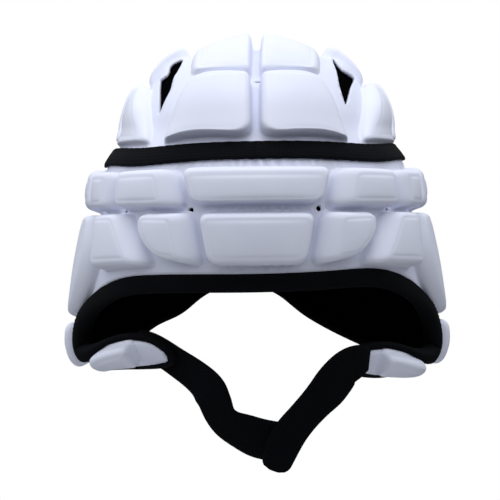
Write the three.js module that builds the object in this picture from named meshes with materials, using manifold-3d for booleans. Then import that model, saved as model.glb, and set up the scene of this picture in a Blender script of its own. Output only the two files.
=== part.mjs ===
// Rugby headguard: a padded scrum cap, held up as a head holds it.
//
// Millimetres, +Z up. The face opening looks along -Y, and +X is the wearer's left.
// The origin is the crown seat: the inside top of the lining, where the head meets it.
//
// One white stretch cover and one black lining are two thin skins on the same head form.
// Foam pads stand on the cover in rows, a black elastic band runs round between the
// crown and the ring, a black binding closes the one long edge, and two padded straps
// lap at the chin. Every place on the head form is named by an azimuth, in degrees round
// from the front, and by a run, the distance down from the top measured over the surface.
import * as THREE from "three";
import { mergeVertices } from "three/addons/utils/BufferGeometryUtils.js";
import Module from "manifold-3d";

// ---------------------------------------------------------------- driving dimensions
const COVER_THICK = 1.6;
const LINING_THICK = 1.5;
const SKIN_GAP = 0.75; // between the cover and the lining
const SEAT_GAP = 0.6; // under each pad and under the band
const SQUARENESS = 2.2; // 2 is an ellipse, more is a squarer head
const CROWN_PAD = 9.5; // thickness of the pads on the crown
const RING_PAD = 8.6; // thickness of the pads on the ring
const JAW_PAD = 6.0; // thickness of the pads under the jaw
const PAD_WALL_INSET = 1.2; // how far a pad's wall leans in
const PAD_SHOULDER = 0.55; // the wall's share of the pad's thickness
const CROWN_CHAMFER = 4.2; // how far a crown pad's face is set in from its edge
const RING_CHAMFER = 3.6;
const PAD_CELL = 14.5; // the longest side of a pad's faces
const BAND_THICK = 1.6;
const BAND_WIDTH = 10;
const BAND_HEIGHT = -52; // of its middle line at the back
const BAND_DIP = 2.3; // how much lower it is at the front
const BINDING_DEPTH = 9.4; // at the face opening
const BINDING_SWELL = 5.5; // how much thicker it is down the front of the flap
const BINDING_THICK = 4; // over the two skins
const BINDING_GAP = 0.4; // from the skins' edge
const HEM_DEPTH = 4.5; // at the nape and under the jaw
const STRAP_THICK = 3.4;
const STRAP_BEVEL = 1.6; // of its rounded edges
const EAR_HOLE = 4.4;
const EYELET = 2.8;
const PLUG = { from: -7, to: 14 }; // what a hole's cutter spans, inside and outside the cover

// The outside of the cover, from the top down: height, half width at the side, and how
// far it reaches to the front and to the back.
const SECTIONS = table(["z", "side", "front", "back"], [
  [3.85, 0, 0, 0],
  [2.3, 22, 24, 26],
  [-1, 36, 42, 44],
  [-6, 45.5, 54, 56],
  [-13, 54, 65, 66],
  [-22, 61, 75, 76],
  [-32, 65.5, 84, 85],
  [-42, 68.5, 90, 92],
  [-48.5, 72.8, 94, 96],
  [-53.5, 76.8, 97.5, 99],
  [-58.5, 79.4, 100, 101.5],
  [-70, 81.4, 102.8, 104],
  [-84, 83.2, 104, 105],
  [-98, 86, 104, 104.2],
  [-112, 88.6, 103, 102],
  [-124, 90.4, 101, 99],
  [-136, 92.4, 93, 95],
  [-146, 94.2, 84, 91],
  [-152, 94.3, 80, 88.5],
  [-157, 93, 77.8, 86.5],
  [-161, 90.5, 75.7, 84],
  [-163.5, 87.5, 74, 81],
  [-165.5, 83, 72, 77],
]);

// The long edge, in heights at each azimuth. Above the brow line all is cloth. Between
// the brow line and the jaw line is the face opening, as far back as OPENING_BACK. Below
// the jaw line is the jaw tab, from TAB_FRONT on, and the hem closes it.
const OPENING_BACK = 81;
const TAB_FRONT = 33.5;
const EDGE = table(["azimuth", "brow", "jaw", "hem"], [
  [0, -114, -160, -165.5],
  [11, -114, -160, -165.5],
  [22, -114.1, -160, -165.5],
  [33.5, -114.4, -157.5, -161.5],
  [39, -114.9, -152.6, -163],
  [46, -116.4, -151.6, -164.6],
  [55, -120.1, -153.4, -165.5],
  [64, -125.8, -157.6, -165.5],
  [72, -133.3, -160.2, -165.5],
  [78, -143.5, -160, -165.5],
  [81, -152, -157.5, -165.5],
  [90, -151.5, -157.5, -165.3],
  [103, -149.8, -156.8, -164.4],
  [116, -145.6, -154.3, -162],
  [129, -139, -148.7, -157.5],
  [142, -130.3, -140.8, -150],
  [155, -120, -129, -139.3],
  [168, -114, -118.6, -123.5],
  [180, -112.8, -115.4, -118.5],
]);
// The nape's arch sits a little to the right of the middle, by this many degrees.
const NAPE_TURN = 6.5;
const LEVELS = [1.2, -6, -14, -24, -35, -42.5, -48.5, -53.5, -58.5, -74, -92, -110];

// Pads on the crown, by the four corners of their foot on the flattened crown: across
// from the middle line and ahead of the top, inner front corner first, going outwards.
const CROWN_PADS = table(["name", "thick", "corners"], [
  ["pad_crown_front", CROWN_PAD, [[3.4, 103], [55.5, 87.3], [33.5, 58.3], [3.4, 66.5]]],
  ["pad_crown_top", CROWN_PAD + 0.8, [[3.4, 63.5], [34, 56], [34, 6], [3.4, 6]]],
  ["pad_crown_back_top", CROWN_PAD + 0.8, [[3.4, 2.5], [34, 2.5], [34, -49], [3.4, -56]]],
  ["pad_crown_back", CROWN_PAD, [[3.4, -59.5], [37.5, -51], [58, -86], [3.4, -103]]],
  ["pad_crown_side_top", CROWN_PAD, [[38, 3], [62.5, 12], [63, -25], [38, -28]]],
  ["pad_crown_side_back", CROWN_PAD - 1, [[38, -31.5], [59.5, -28], [48, -45], [38.5, -46]]],
]);

// Pads named by azimuth and height: the top edge, then the bottom edge, each from its
// front corner to its back corner. The bows are how far, in degrees, the front and the
// back edge swing backwards half way down.
const SIDE_PADS = table(["name", "thick", "top", "bottom", "bows"], [
  ["pad_side_front", CROWN_PAD, [72, -16, 90, -16.5], [39.5, -45.4, 72, -45.4], [0, 0]],
  ["pad_side_middle", CROWN_PAD, [93, -16.5, 116, -16], [75, -45.4, 108, -45.4], [0, 0]],
  ["pad_side_back", CROWN_PAD, [119, -16, 138, -21], [111, -45.4, 143, -45.4], [0, 0]],
  ["pad_upper_1", RING_PAD, [20.5, -60.8, 43, -60.8], [17.6, -82.6, 43, -82.6], [0, 0]],
  ["pad_upper_2", RING_PAD, [45, -60.8, 65, -60.8], [45, -82.6, 63, -82.6], [0, 0]],
  ["pad_upper_3", RING_PAD, [67, -60.8, 92, -60.8], [65, -82.6, 91, -82.6], [0, 0]],
  ["pad_upper_4", RING_PAD, [94, -60.8, 124, -60.8], [93, -82.6, 124, -82.6], [0, 0]],
  ["pad_upper_5", RING_PAD, [126, -60.8, 157, -60.8], [126, -82.6, 159, -82.6], [0, 0]],
  ["pad_brow_1", RING_PAD, [17.4, -84.6, 33, -84.6], [14.8, -111, 25, -107], [0, 5]],
  ["pad_brow_2", RING_PAD, [37.5, -84.6, 57, -84.6], [30, -110.4, 55.5, -113], [0, 0]],
  ["pad_temple", RING_PAD, [59, -84.6, 87, -84.6], [78.5, -139, 87.5, -139], [-8, 0]],
  ["pad_over_ear", RING_PAD, [89, -84.6, 124, -84.6], [89.5, -110.4, 124, -110.4], [0, 0]],
  ["pad_ear", RING_PAD, [89.6, -112.6, 124, -112.6], [90, -139, 124, -136.5], [0, 0]],
  ["pad_ear_lower", RING_PAD, [83.5, -141.3, 108, -141.3], [85, -162, 107, -161], [0, 0]],
  ["pad_behind_ear", RING_PAD, [110, -141, 129, -137.3], [109, -160.4, 126, -156], [0, 0]],
  ["pad_back_side", RING_PAD, [126, -84.6, 159, -84.6], [126, -110.4, 157, -110.4], [0, 0]],
  ["pad_nape", RING_PAD, [126.5, -112.6, 157, -112.6], [131.5, -146, 150, -133], [0, 0]],
  ["pad_jaw", JAW_PAD, [45.5, -152.8, 67, -160], [45.5, -163.4, 67, -164.9], [0, 0]],
]);
const MIDDLE_PADS = table(["name", "thick", "top", "bottom"], [
  ["pad_upper_front", RING_PAD, [-18.6, -60.8, 18.6, -60.8], [-15.6, -82.6, 15.6, -82.6]],
  ["pad_brow_front", RING_PAD, [-15.4, -84.6, 15.4, -84.6], [-12.8, -111, 12.8, -111]],
  ["pad_upper_back", RING_PAD, [159.5, -60.8, 200.5, -60.8], [161.5, -82.6, 198.5, -82.6]],
  ["pad_back", RING_PAD, [161.5, -84.6, 198.5, -84.6], [160, -112, 200, -112]],
]);

// Vents in the cover beside the crown pads, on the flattened crown as above. The stretched
// cloth pulls the two into different shapes.
const VENT_LEFT = table(["across", "ahead"], [
  [43, 9],
  [52, 12],
  [59, 15.5],
  [57, 33],
  [52, 57],
  [50.6, 66.6],
  [47.7, 62.2],
  [44.6, 53.6],
  [42.5, 36],
]);
const VENT_RIGHT = table(["across", "ahead"], [
  [43, 9],
  [50.8, 12],
  [50.8, 33],
  [57.5, 22],
  [57.5, 45],
  [57, 66],
  [49.5, 60.4],
  [43.5, 45],
  [41.5, 30],
]);

// Ear holes, and the eyelets at the crossings of the grooves.
const EAR_HOLES = table(["azimuth", "z"], [
  [102, -120],
  [110, -120],
  [118, -120],
  [106, -129],
  [114, -129],
]);
const EYELETS = table(["azimuth", "z"], [[16.6, -83.6], [44, -83.6]]);

// The straps' middle lines from their roots to the chin. Facing is the azimuth that the
// strap's outer face looks to, and tilt how far it looks down.
const STRAP_COLUMNS = ["x", "y", "z", "facing", "tilt", "width"];
const STRAP_RIGHT = table(STRAP_COLUMNS, [
  [-58.5, -45, -153.5, -52, 22, 20],
  [-50.5, -54.5, -155.3, -45, 26, 20],
  [-40.8, -61, -160.8, -32, 28, 20.5],
  [-32, -66.5, -166.5, -22, 28, 20.5],
  [-25.3, -69.5, -172.6, -12, 32, 20.5],
  [-21.6, -69.8, -179, -4, 40, 20],
  [-18.8, -67.4, -185.4, 0, 38, 20.5],
  [-14.6, -64, -191.4, 0, 30, 22.5],
  [-8, -61.4, -195.8, 0, 28, 24],
  [1, -59.8, -198.8, 0, 28, 24],
  [11, -58.9, -200.4, 0, 28, 24],
  [19, -58.3, -201.6, 0, 28, 18],
]);
const STRAP_LEFT = table(STRAP_COLUMNS, [
  [57, -44, -157.5, 52, 22, 20],
  [49.8, -52.5, -159.5, 46, 26, 21],
  [42.6, -56.6, -166, 36, 28, 22.5],
  [36, -64.5, -174, 22, 34, 22.5],
  [28, -70.5, -182.4, 8, 42, 22.5],
  [21, -71.4, -190.3, 0, 42, 22.5],
  [15.4, -68, -196.6, 0, 34, 22.5],
  [10, -63.8, -203.4, 0, 28, 22],
  [3.2, -59.8, -209, 0, 28, 16],
]);

const MATERIALS = {
  white: { color: 0xeef0f8, roughness: 0.6, metalness: 0 },
  pad: { color: 0xf3f5fc, roughness: 0.55, metalness: 0 },
  black: { color: 0x0b0c10, roughness: 0.85, metalness: 0 },
  elastic: { color: 0x131418, roughness: 0.75, metalness: 0 },
};

// ---------------------------------------------------------------- small helpers
function table(columns, rows) {
  return rows.map((row) => Object.fromEntries(columns.map((name, i) => [name, row[i]])));
}

function radians(degrees) {
  return (degrees * Math.PI) / 180;
}

// ---------------------------------------------------------------- the head form
// The run at each section is the length of the mean outline down to it.
const RUNS = [0];
for (let i = 1; i < SECTIONS.length; i++) {
  const [above, here] = [SECTIONS[i - 1], SECTIONS[i]];
  const outward = (here.side + here.front - above.side - above.front) / 2;
  RUNS.push(RUNS[i - 1] + Math.hypot(outward, here.z - above.z));
}

// A column of the section table at any run, as a smooth curve through its rows.
function slopeAt(column, i) {
  const low = Math.max(i - 1, 0);
  const high = Math.min(i + 1, SECTIONS.length - 1);
  if (i === 0 && column === "z") return 0;
  return (SECTIONS[high][column] - SECTIONS[low][column]) / (RUNS[high] - RUNS[low]);
}

function columnAt(column, run) {
  let i = RUNS.findIndex((r) => r > run) - 1;
  if (i < 0) i = run <= 0 ? 0 : RUNS.length - 2;
  const step = RUNS[i + 1] - RUNS[i];
  const t = (run - RUNS[i]) / step;
  const [a, b] = [SECTIONS[i][column], SECTIONS[i + 1][column]];
  const [ma, mb] = [slopeAt(column, i) * step, slopeAt(column, i + 1) * step];
  const t2 = t * t;
  const t3 = t2 * t;
  return (
    (2 * t3 - 3 * t2 + 1) * a + (t3 - 2 * t2 + t) * ma + (3 * t2 - 2 * t3) * b + (t3 - t2) * mb
  );
}

// The run at which the form has come down to a height.
function runAt(z) {
  let [low, high] = [0, RUNS[RUNS.length - 1]];
  for (let i = 0; i < 40; i++) {
    const middle = (low + high) / 2;
    if (columnAt("z", middle) > z) low = middle;
    else high = middle;
  }
  return (low + high) / 2;
}

// A point of the cover's outer surface.
function surface(azimuth, run) {
  const angle = radians(azimuth);
  const reach = Math.cos(angle) > 0 ? columnAt("front", run) : columnAt("back", run);
  const side = columnAt("side", run);
  const sum =
    Math.abs(Math.sin(angle) / Math.max(side, 1e-6)) ** SQUARENESS +
    Math.abs(Math.cos(angle) / Math.max(reach, 1e-6)) ** SQUARENESS;
  const radius = sum ** (-1 / SQUARENESS);
  return new THREE.Vector3(
    radius * Math.sin(angle),
    -radius * Math.cos(angle),
    columnAt("z", run),
  );
}

function normalAt(azimuth, run) {
  if (run < 0.5) return new THREE.Vector3(0, 0, 1);
  const round = surface(azimuth + 0.5, run).sub(surface(azimuth - 0.5, run));
  const down = surface(azimuth, run + 0.2).sub(surface(azimuth, run - 0.2));
  return down.cross(round).normalize();
}

// A point at a distance outside (or, below zero, inside) the cover's outer surface.
function above(azimuth, run, distance) {
  return surface(azimuth, run).addScaledVector(normalAt(azimuth, run), distance);
}

// The flattened crown: across and ahead, to azimuth and run.
function fromCrown(across, ahead) {
  return [(Math.atan2(across, ahead) * 180) / Math.PI, Math.hypot(across, ahead)];
}

// ---------------------------------------------------------------- solids from grids
// A plate from a grid of cells. pointAt gives its inner (0) and outer (1) face; absent
// cells are left open, with a wall round them. A closed grid joins its last column to
// its first.
function plate({ columns, rows, closed = false, present = () => true, pointAt }) {
  const positions = [];
  const column = (i) => (closed ? (i + columns) % columns : i);
  const inGrid = (i, j) =>
    j >= 0 && j < rows && (closed || (i >= 0 && i < columns)) && present(column(i), j);
  const corner = (i, j, face) => pointAt(column(i), j, face);
  const quad = (a, b, c, d) => {
    for (const [p, q, r] of [[a, b, c], [a, c, d]]) {
      if (p.distanceTo(q) < 1e-3 || q.distanceTo(r) < 1e-3 || r.distanceTo(p) < 1e-3) continue;
      positions.push(...p.toArray(), ...q.toArray(), ...r.toArray());
    }
  };
  for (let i = 0; i < columns; i++) {
    for (let j = 0; j < rows; j++) {
      if (!inGrid(i, j)) continue;
      const cell = [[i, j], [i, j + 1], [i + 1, j + 1], [i + 1, j]];
      const outer = cell.map(([m, n]) => corner(m, n, 1));
      const inner = cell.map(([m, n]) => corner(m, n, 0));
      const wall = (a, b) => quad(inner[a], inner[b], outer[b], outer[a]);
      quad(outer[0], outer[1], outer[2], outer[3]);
      quad(inner[3], inner[2], inner[1], inner[0]);
      if (!inGrid(i - 1, j)) wall(0, 1);
      if (!inGrid(i, j + 1)) wall(1, 2);
      if (!inGrid(i + 1, j)) wall(2, 3);
      if (!inGrid(i, j - 1)) wall(3, 0);
    }
  }
  const geometry = new THREE.BufferGeometry();
  geometry.setAttribute("position", new THREE.Float32BufferAttribute(positions, 3));
  return mergeVertices(geometry, 1e-3);
}

// ---------------------------------------------------------------- cutting holes
const wasm = await Module();
wasm.setup();

function solidOf(geometry) {
  return new wasm.Manifold(
    new wasm.Mesh({
      numProp: 3,
      vertProperties: new Float32Array(geometry.attributes.position.array),
      triVerts: new Uint32Array(geometry.index.array),
    }),
  );
}

function geometryOf(solid) {
  const mesh = solid.getMesh();
  const geometry = new THREE.BufferGeometry();
  geometry.setAttribute("position", new THREE.BufferAttribute(mesh.vertProperties, 3));
  geometry.setIndex(new THREE.BufferAttribute(mesh.triVerts, 1));
  return geometry;
}

// A plug through the skins and the pads, from an outline of places on the form.
function plug(places) {
  const flattened = ([azimuth, run]) => {
    const angle = radians(azimuth);
    return new THREE.Vector2(run * Math.sin(angle), run * Math.cos(angle));
  };
  const clockwise = THREE.ShapeUtils.isClockWise(places.map(flattened));
  const ordered = clockwise ? places.toReversed() : places;
  const faces = THREE.ShapeUtils.triangulateShape(ordered.map(flattened), []);
  const count = ordered.length;
  const points = [PLUG.from, PLUG.to].flatMap((distance) =>
    ordered.flatMap(([azimuth, run]) => above(azimuth, run, distance).toArray()),
  );
  // Seen from outside, the flattened crown is a mirror image, so the outer face is turned.
  const index = [];
  for (const [a, b, c] of faces) {
    index.push(a, b, c);
    index.push(count + a, count + c, count + b);
  }
  for (let i = 0; i < count; i++) {
    const next = (i + 1) % count;
    index.push(i, count + next, next);
    index.push(i, count + i, count + next);
  }
  const geometry = new THREE.BufferGeometry();
  geometry.setAttribute("position", new THREE.Float32BufferAttribute(points, 3));
  geometry.setIndex(index);
  return geometry;
}

// A round plug of few sides at one place.
function roundPlug({ azimuth, z }, diameter, sides) {
  const run = runAt(z);
  const at = surface(azimuth, run);
  const perDegree = Math.hypot(at.x, at.y) * radians(1);
  const places = [];
  for (let i = 0; i < sides; i++) {
    const turn = (2 * Math.PI * (i + 0.5)) / sides;
    const across = (Math.cos(turn) * diameter) / 2;
    const down = (Math.sin(turn) * diameter) / 2;
    places.push([azimuth + across / perDegree, run + down]);
  }
  return plug(places);
}

function earPlugs(sides) {
  return sides.flatMap((side) =>
    EAR_HOLES.map(({ azimuth, z }) => roundPlug({ azimuth: side * azimuth, z }, EAR_HOLE, 5)),
  );
}

function eyeletPlugs() {
  return [1, -1].flatMap((side) =>
    EYELETS.map(({ azimuth, z }) => roundPlug({ azimuth: side * azimuth, z }, EYELET, 4)),
  );
}

function ventPlugs() {
  return [
    plug(VENT_LEFT.map(({ across, ahead }) => fromCrown(across, ahead))),
    plug(VENT_RIGHT.map(({ across, ahead }) => fromCrown(-across, ahead))),
  ];
}

function cut(geometry, plugs) {
  let solid = solidOf(geometry);
  for (const tool of plugs) solid = solid.subtract(solidOf(tool));
  return geometryOf(solid);
}

// ---------------------------------------------------------------- the two skins
// Columns of the skins' grid, once round, and the run of each row in each column.
const HALF = EDGE.map((row) => row.azimuth);
const AZIMUTHS = [...HALF, ...HALF.slice(1, -1).reverse().map((a) => 360 - a)].map(turned);
const EDGE_AT = [...EDGE, ...EDGE.slice(1, -1).reverse()];
const LEVEL_RUNS = LEVELS.map(runAt);
const SKIN_ROWS = EDGE_AT.map((row) => {
  const [brow, jaw, hem] = [row.brow, row.jaw, row.hem].map(runAt);
  const last = LEVEL_RUNS[LEVEL_RUNS.length - 1];
  return [0, ...LEVEL_RUNS, (last + brow) / 2, brow, jaw, (jaw + hem) / 2, hem];
});
const BROW_ROW = LEVELS.length + 2;
const SKIN_CELLS = BROW_ROW + 3;

// The azimuth of a column of the edge table, with the nape turned to its place.
function turned(azimuth) {
  const back = Math.abs(azimuth) > 90 && Math.abs(azimuth) < 270;
  return azimuth + (back ? NAPE_TURN * Math.cos(radians(azimuth)) ** 2 : 0);
}

// Whether a cell of the skins is cloth: all is, above the brow line; below it only the
// sides and the nape, and the tabs below the jaw line.
function isCloth(i, j) {
  const next = AZIMUTHS[(i + 1) % AZIMUTHS.length] || 360;
  const middle = (AZIMUTHS[i] + next) / 2;
  const azimuth = Math.min(middle, 360 - middle);
  if (j < BROW_ROW) return true;
  if (j === BROW_ROW) return azimuth > OPENING_BACK;
  return azimuth > TAB_FRONT;
}

function skin(outside, inside) {
  return plate({
    columns: AZIMUTHS.length,
    rows: SKIN_CELLS,
    closed: true,
    present: isCloth,
    pointAt: (i, j, face) => above(AZIMUTHS[i], SKIN_ROWS[i][j], face ? outside : inside),
  });
}

const LINING_OUTSIDE = -(COVER_THICK + SKIN_GAP);
const LINING_INSIDE = LINING_OUTSIDE - LINING_THICK;

function coverGeometry() {
  const plugs = [...ventPlugs(), ...eyeletPlugs(), ...earPlugs([1, -1])];
  return cut(skin(0, -COVER_THICK), plugs);
}

function liningGeometry() {
  return cut(skin(LINING_OUTSIDE, LINING_INSIDE), earPlugs([1, -1]));
}

// The band dips towards the front, and keeps its width over the surface.
function bandGeometry() {
  return plate({
    columns: AZIMUTHS.length,
    rows: 2,
    closed: true,
    pointAt: (i, j, face) => {
      const frontness = (1 + Math.cos(radians(AZIMUTHS[i]))) / 2;
      const middle = runAt(BAND_HEIGHT - BAND_DIP * frontness ** 1.6);
      const run = middle + (j - 1) * (BAND_WIDTH / 2);
      return above(AZIMUTHS[i], run, SEAT_GAP + (face ? BAND_THICK : 0));
    },
  });
}

// ---------------------------------------------------------------- pads
// A pad from its foot, given as a function of (u, v) from 0 to 1: a leaning wall up to
// its shoulder, and a face set in by the chamfer.
function padGeometry(place, thick, size, chamfer) {
  const steps = (length) => Math.max(3, Math.ceil(length / PAD_CELL));
  const [stepsU, stepsV] = [steps(size.u), steps(size.v)];
  const along = (k, last, length) => {
    const insets = [PAD_WALL_INSET, chamfer];
    if (k < insets.length) return insets[k] / length;
    return last - k < insets.length ? 1 - insets[last - k] / length : k / last;
  };
  return plate({
    columns: stepsU,
    rows: stepsV,
    pointAt: (i, j, face) => {
      if (!face) {
        const [azimuth, run] = place(i / stepsU, j / stepsV);
        return above(azimuth, run, SEAT_GAP);
      }
      const rim = i === 0 || i === stepsU || j === 0 || j === stepsV;
      const [azimuth, run] = place(along(i, stepsU, size.u), along(j, stepsV, size.v));
      return above(azimuth, run, SEAT_GAP + (rim ? thick * PAD_SHOULDER : thick));
    },
  });
}

// A place inside four corners, and the pad's length each way over the surface.
function between(corners) {
  return (u, v) => {
    const [a, b, c, d] = corners;
    return [0, 1].map(
      (k) => (1 - v) * ((1 - u) * a[k] + u * b[k]) + v * ((1 - u) * d[k] + u * c[k]),
    );
  };
}

function sizeOf(place) {
  const point = (u, v) => surface(...place(u, v));
  return {
    u: point(0, 0.5).distanceTo(point(1, 0.5)),
    v: point(0.5, 0).distanceTo(point(0.5, 1)),
  };
}

function crownPad({ thick, corners }, side) {
  const flat = between(corners);
  const place = (u, v) => {
    const [across, ahead] = flat(side > 0 ? u : 1 - u, 1 - v);
    return fromCrown(side * across, ahead);
  };
  return padGeometry(place, thick, sizeOf(place), CROWN_CHAMFER);
}

function ringPad({ thick, top, bottom, bows = [0, 0] }, side) {
  const corners = [
    [top[0], runAt(top[1])],
    [top[2], runAt(top[3])],
    [bottom[2], runAt(bottom[3])],
    [bottom[0], runAt(bottom[1])],
  ];
  const flat = between(corners);
  const place = (u, v) => {
    const back = side > 0 ? u : 1 - u;
    const [azimuth, run] = flat(back, v);
    const bow = bows[0] * (1 - back) + bows[1] * back;
    return [side * (azimuth + bow * 4 * v * (1 - v)), run];
  };
  return padGeometry(place, thick, sizeOf(place), RING_CHAMFER);
}

// ---------------------------------------------------------------- binding and straps
// A closed tube or a capped one from rings of points.
function loft(rings, closed) {
  const positions = [];
  const count = rings[0].length;
  const push = (...points) => points.forEach((p) => positions.push(...p.toArray()));
  const last = closed ? rings.length : rings.length - 1;
  for (let i = 0; i < last; i++) {
    const [a, b] = [rings[i], rings[(i + 1) % rings.length]];
    for (let k = 0; k < count; k++) {
      const next = (k + 1) % count;
      push(a[k], b[next], a[next]);
      push(a[k], b[k], b[next]);
    }
  }
  if (!closed) {
    const [first, end] = [rings[0], rings[rings.length - 1]];
    for (let k = 1; k < count - 1; k++) {
      push(first[0], first[k], first[k + 1]);
      push(end[0], end[k + 1], end[k]);
    }
  }
  const geometry = new THREE.BufferGeometry();
  geometry.setAttribute("position", new THREE.Float32BufferAttribute(positions, 3));
  return mergeVertices(geometry, 1e-3);
}

// The long edge as one loop of places: under the brow, down the front of the flap, along
// the jaw tab and back under it, and round the nape.
function edgeLoop() {
  const at = (row, line) => ({ azimuth: row.azimuth, run: runAt(row[line]), line });
  const half = [
    ...EDGE.filter((row) => row.azimuth <= OPENING_BACK).map((row) => at(row, "brow")),
    ...EDGE.filter((row) => row.azimuth <= OPENING_BACK && row.azimuth >= TAB_FRONT)
      .reverse()
      .map((row) => at(row, "jaw")),
    ...EDGE.filter((row) => row.azimuth >= TAB_FRONT).map((row) => at(row, "hem")),
  ];
  const other = half.slice(1, -1).reverse().map((p) => ({ ...p, azimuth: -p.azimuth }));
  return [...half, ...other].map((p) => ({ ...p, azimuth: turned(p.azimuth) }));
}

function bindingGeometry() {
  const loop = edgeLoop();
  const middle = -(COVER_THICK + SKIN_GAP + LINING_THICK) / 2;
  const points = loop.map((p) => above(p.azimuth, p.run, middle));
  const rings = loop.map((place, i) => {
    const before = points[(i + loop.length - 1) % loop.length];
    const after = points[(i + 1) % loop.length];
    const along = after.clone().sub(before).normalize();
    const outward = normalAt(place.azimuth, place.run);
    const away = along.clone().cross(outward).normalize();
    const depth = depthAt(place);
    const swell = place.line === "hem" ? 0 : swellAt(Math.abs(place.azimuth));
    const half = BINDING_THICK / 2;
    const section = [
      [BINDING_GAP, -half],
      [depth * 0.6, -half],
      [depth, swell * 0.2],
      [depth * 0.6, half + swell],
      [BINDING_GAP, half + swell],
    ];
    return section.map(([out, up]) =>
      points[i].clone().addScaledVector(away, out).addScaledVector(outward, up),
    );
  });
  return loft(rings, true);
}

// The binding is deep round the face opening, and narrow on the jaw tab and the hem.
function depthAt({ azimuth, line }) {
  if (line === "hem") return HEM_DEPTH;
  if (line === "brow") return BINDING_DEPTH;
  return THREE.MathUtils.lerp(
    HEM_DEPTH,
    BINDING_DEPTH,
    THREE.MathUtils.smoothstep(Math.abs(azimuth), 58, 80),
  );
}

// The binding swells to the pads' thickness down the front of the flap.
function swellAt(azimuth) {
  return BINDING_SWELL * THREE.MathUtils.smoothstep(azimuth, 54, 77);
}

function strapGeometry(stations) {
  const centres = stations.map((s) => new THREE.Vector3(s.x, s.y, s.z));
  const curve = new THREE.CatmullRomCurve3(centres);
  const rings = stations.map((station, i) => {
    const along = curve.getTangent(i / (stations.length - 1));
    const facing = radians(station.facing);
    const tilt = radians(station.tilt);
    const looking = new THREE.Vector3(
      Math.sin(facing) * Math.cos(tilt),
      -Math.cos(facing) * Math.cos(tilt),
      -Math.sin(tilt),
    );
    const across = along.clone().cross(looking).normalize();
    const outward = across.clone().cross(along).normalize();
    const half = station.width / 2;
    const flat = half - STRAP_BEVEL;
    const thick = STRAP_THICK / 2;
    const section = [
      [half, 0],
      [flat, thick],
      [-flat, thick],
      [-half, 0],
      [-flat, -thick],
      [flat, -thick],
    ];
    return section.map(([side, up]) =>
      centres[i].clone().addScaledVector(across, side).addScaledVector(outward, up),
    );
  });
  return loft(rings, false);
}

// ---------------------------------------------------------------- the assembly
const headguard = new THREE.Group();

function add(name, geometry, material) {
  geometry.computeVertexNormals();
  const mesh = new THREE.Mesh(geometry, new THREE.MeshStandardMaterial(material));
  mesh.name = name;
  headguard.add(mesh);
}

add("cover", coverGeometry(), MATERIALS.white);
add("lining", liningGeometry(), MATERIALS.black);
add("crown_band", bandGeometry(), MATERIALS.elastic);
add("edge_binding", bindingGeometry(), MATERIALS.black);
add("chin_strap_right", strapGeometry(STRAP_RIGHT), MATERIALS.black);
add("chin_strap_left", strapGeometry(STRAP_LEFT), MATERIALS.black);
for (const [side, suffix] of [[1, "left"], [-1, "right"]]) {
  for (const pad of CROWN_PADS) {
    add(`${pad.name}_${suffix}`, crownPad(pad, side), MATERIALS.pad);
  }
  for (const pad of SIDE_PADS) {
    const solid = ringPad(pad, side);
    const shape = pad.name === "pad_ear" ? cut(solid, earPlugs([side])) : solid;
    add(`${pad.name}_${suffix}`, shape, MATERIALS.pad);
  }
}
for (const pad of MIDDLE_PADS) add(pad.name, ringPad(pad, 1), MATERIALS.pad);

export default headguard;
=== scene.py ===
# %% [markdown]
# # A padded rugby headguard
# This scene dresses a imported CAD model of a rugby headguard, a soft padded cap that is held
# on the head by two chin straps. The CAD model fixes every size and place. Blender makes
# what the eye sees: soft foam pads under a stretch cloth, a ribbed elastic band, a padded
# black binding, straps, stitches, and the light.

import math

import bmesh
import bpy
import numpy as np
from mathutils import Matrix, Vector


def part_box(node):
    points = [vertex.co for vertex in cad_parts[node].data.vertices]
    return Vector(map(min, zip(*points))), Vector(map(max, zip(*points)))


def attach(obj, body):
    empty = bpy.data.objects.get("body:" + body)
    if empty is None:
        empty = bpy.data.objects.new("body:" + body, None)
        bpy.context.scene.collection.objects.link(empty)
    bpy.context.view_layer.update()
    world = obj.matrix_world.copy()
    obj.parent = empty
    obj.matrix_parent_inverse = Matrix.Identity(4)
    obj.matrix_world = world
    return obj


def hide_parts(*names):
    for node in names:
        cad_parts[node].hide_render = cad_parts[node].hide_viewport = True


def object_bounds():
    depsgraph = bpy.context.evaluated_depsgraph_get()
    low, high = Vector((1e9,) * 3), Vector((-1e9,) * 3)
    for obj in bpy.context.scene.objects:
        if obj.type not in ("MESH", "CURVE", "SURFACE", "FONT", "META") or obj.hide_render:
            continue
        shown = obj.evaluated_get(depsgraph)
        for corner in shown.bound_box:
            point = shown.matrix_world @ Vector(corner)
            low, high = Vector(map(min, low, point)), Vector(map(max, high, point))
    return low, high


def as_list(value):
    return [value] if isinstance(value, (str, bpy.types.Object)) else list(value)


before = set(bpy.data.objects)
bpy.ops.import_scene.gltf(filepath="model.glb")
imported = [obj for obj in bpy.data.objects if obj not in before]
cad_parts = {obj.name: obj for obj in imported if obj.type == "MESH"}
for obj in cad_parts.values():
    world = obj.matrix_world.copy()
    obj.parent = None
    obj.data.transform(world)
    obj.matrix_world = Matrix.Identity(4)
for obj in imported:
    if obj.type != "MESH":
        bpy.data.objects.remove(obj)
cad_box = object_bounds()
print("CAD nodes:", len(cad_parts))

# %% [markdown]
# ## One head form under everything
# The real guard is sewn flat and takes its shape from the head inside it. So every piece
# here is placed on one smooth head form, the outside of the cover, in the same millimetres
# as the CAD model. A place on it is an azimuth, in degrees round from the front towards the
# wearer's left, and a run, the distance down from the top measured over the surface.

# %% The form's sections
MM = 0.001
SQUARENESS = 2.2  # 2 is an ellipse, more is a squarer head
TAB_LEAN = 2.8  # the jaw tab on the wearer's left hangs this much lower, the other higher
CROWN_LEAN = 1.6  # the top leans this far to the wearer's left
SIDE_DENT = 2.4  # the crown's right side is this much flatter
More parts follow.
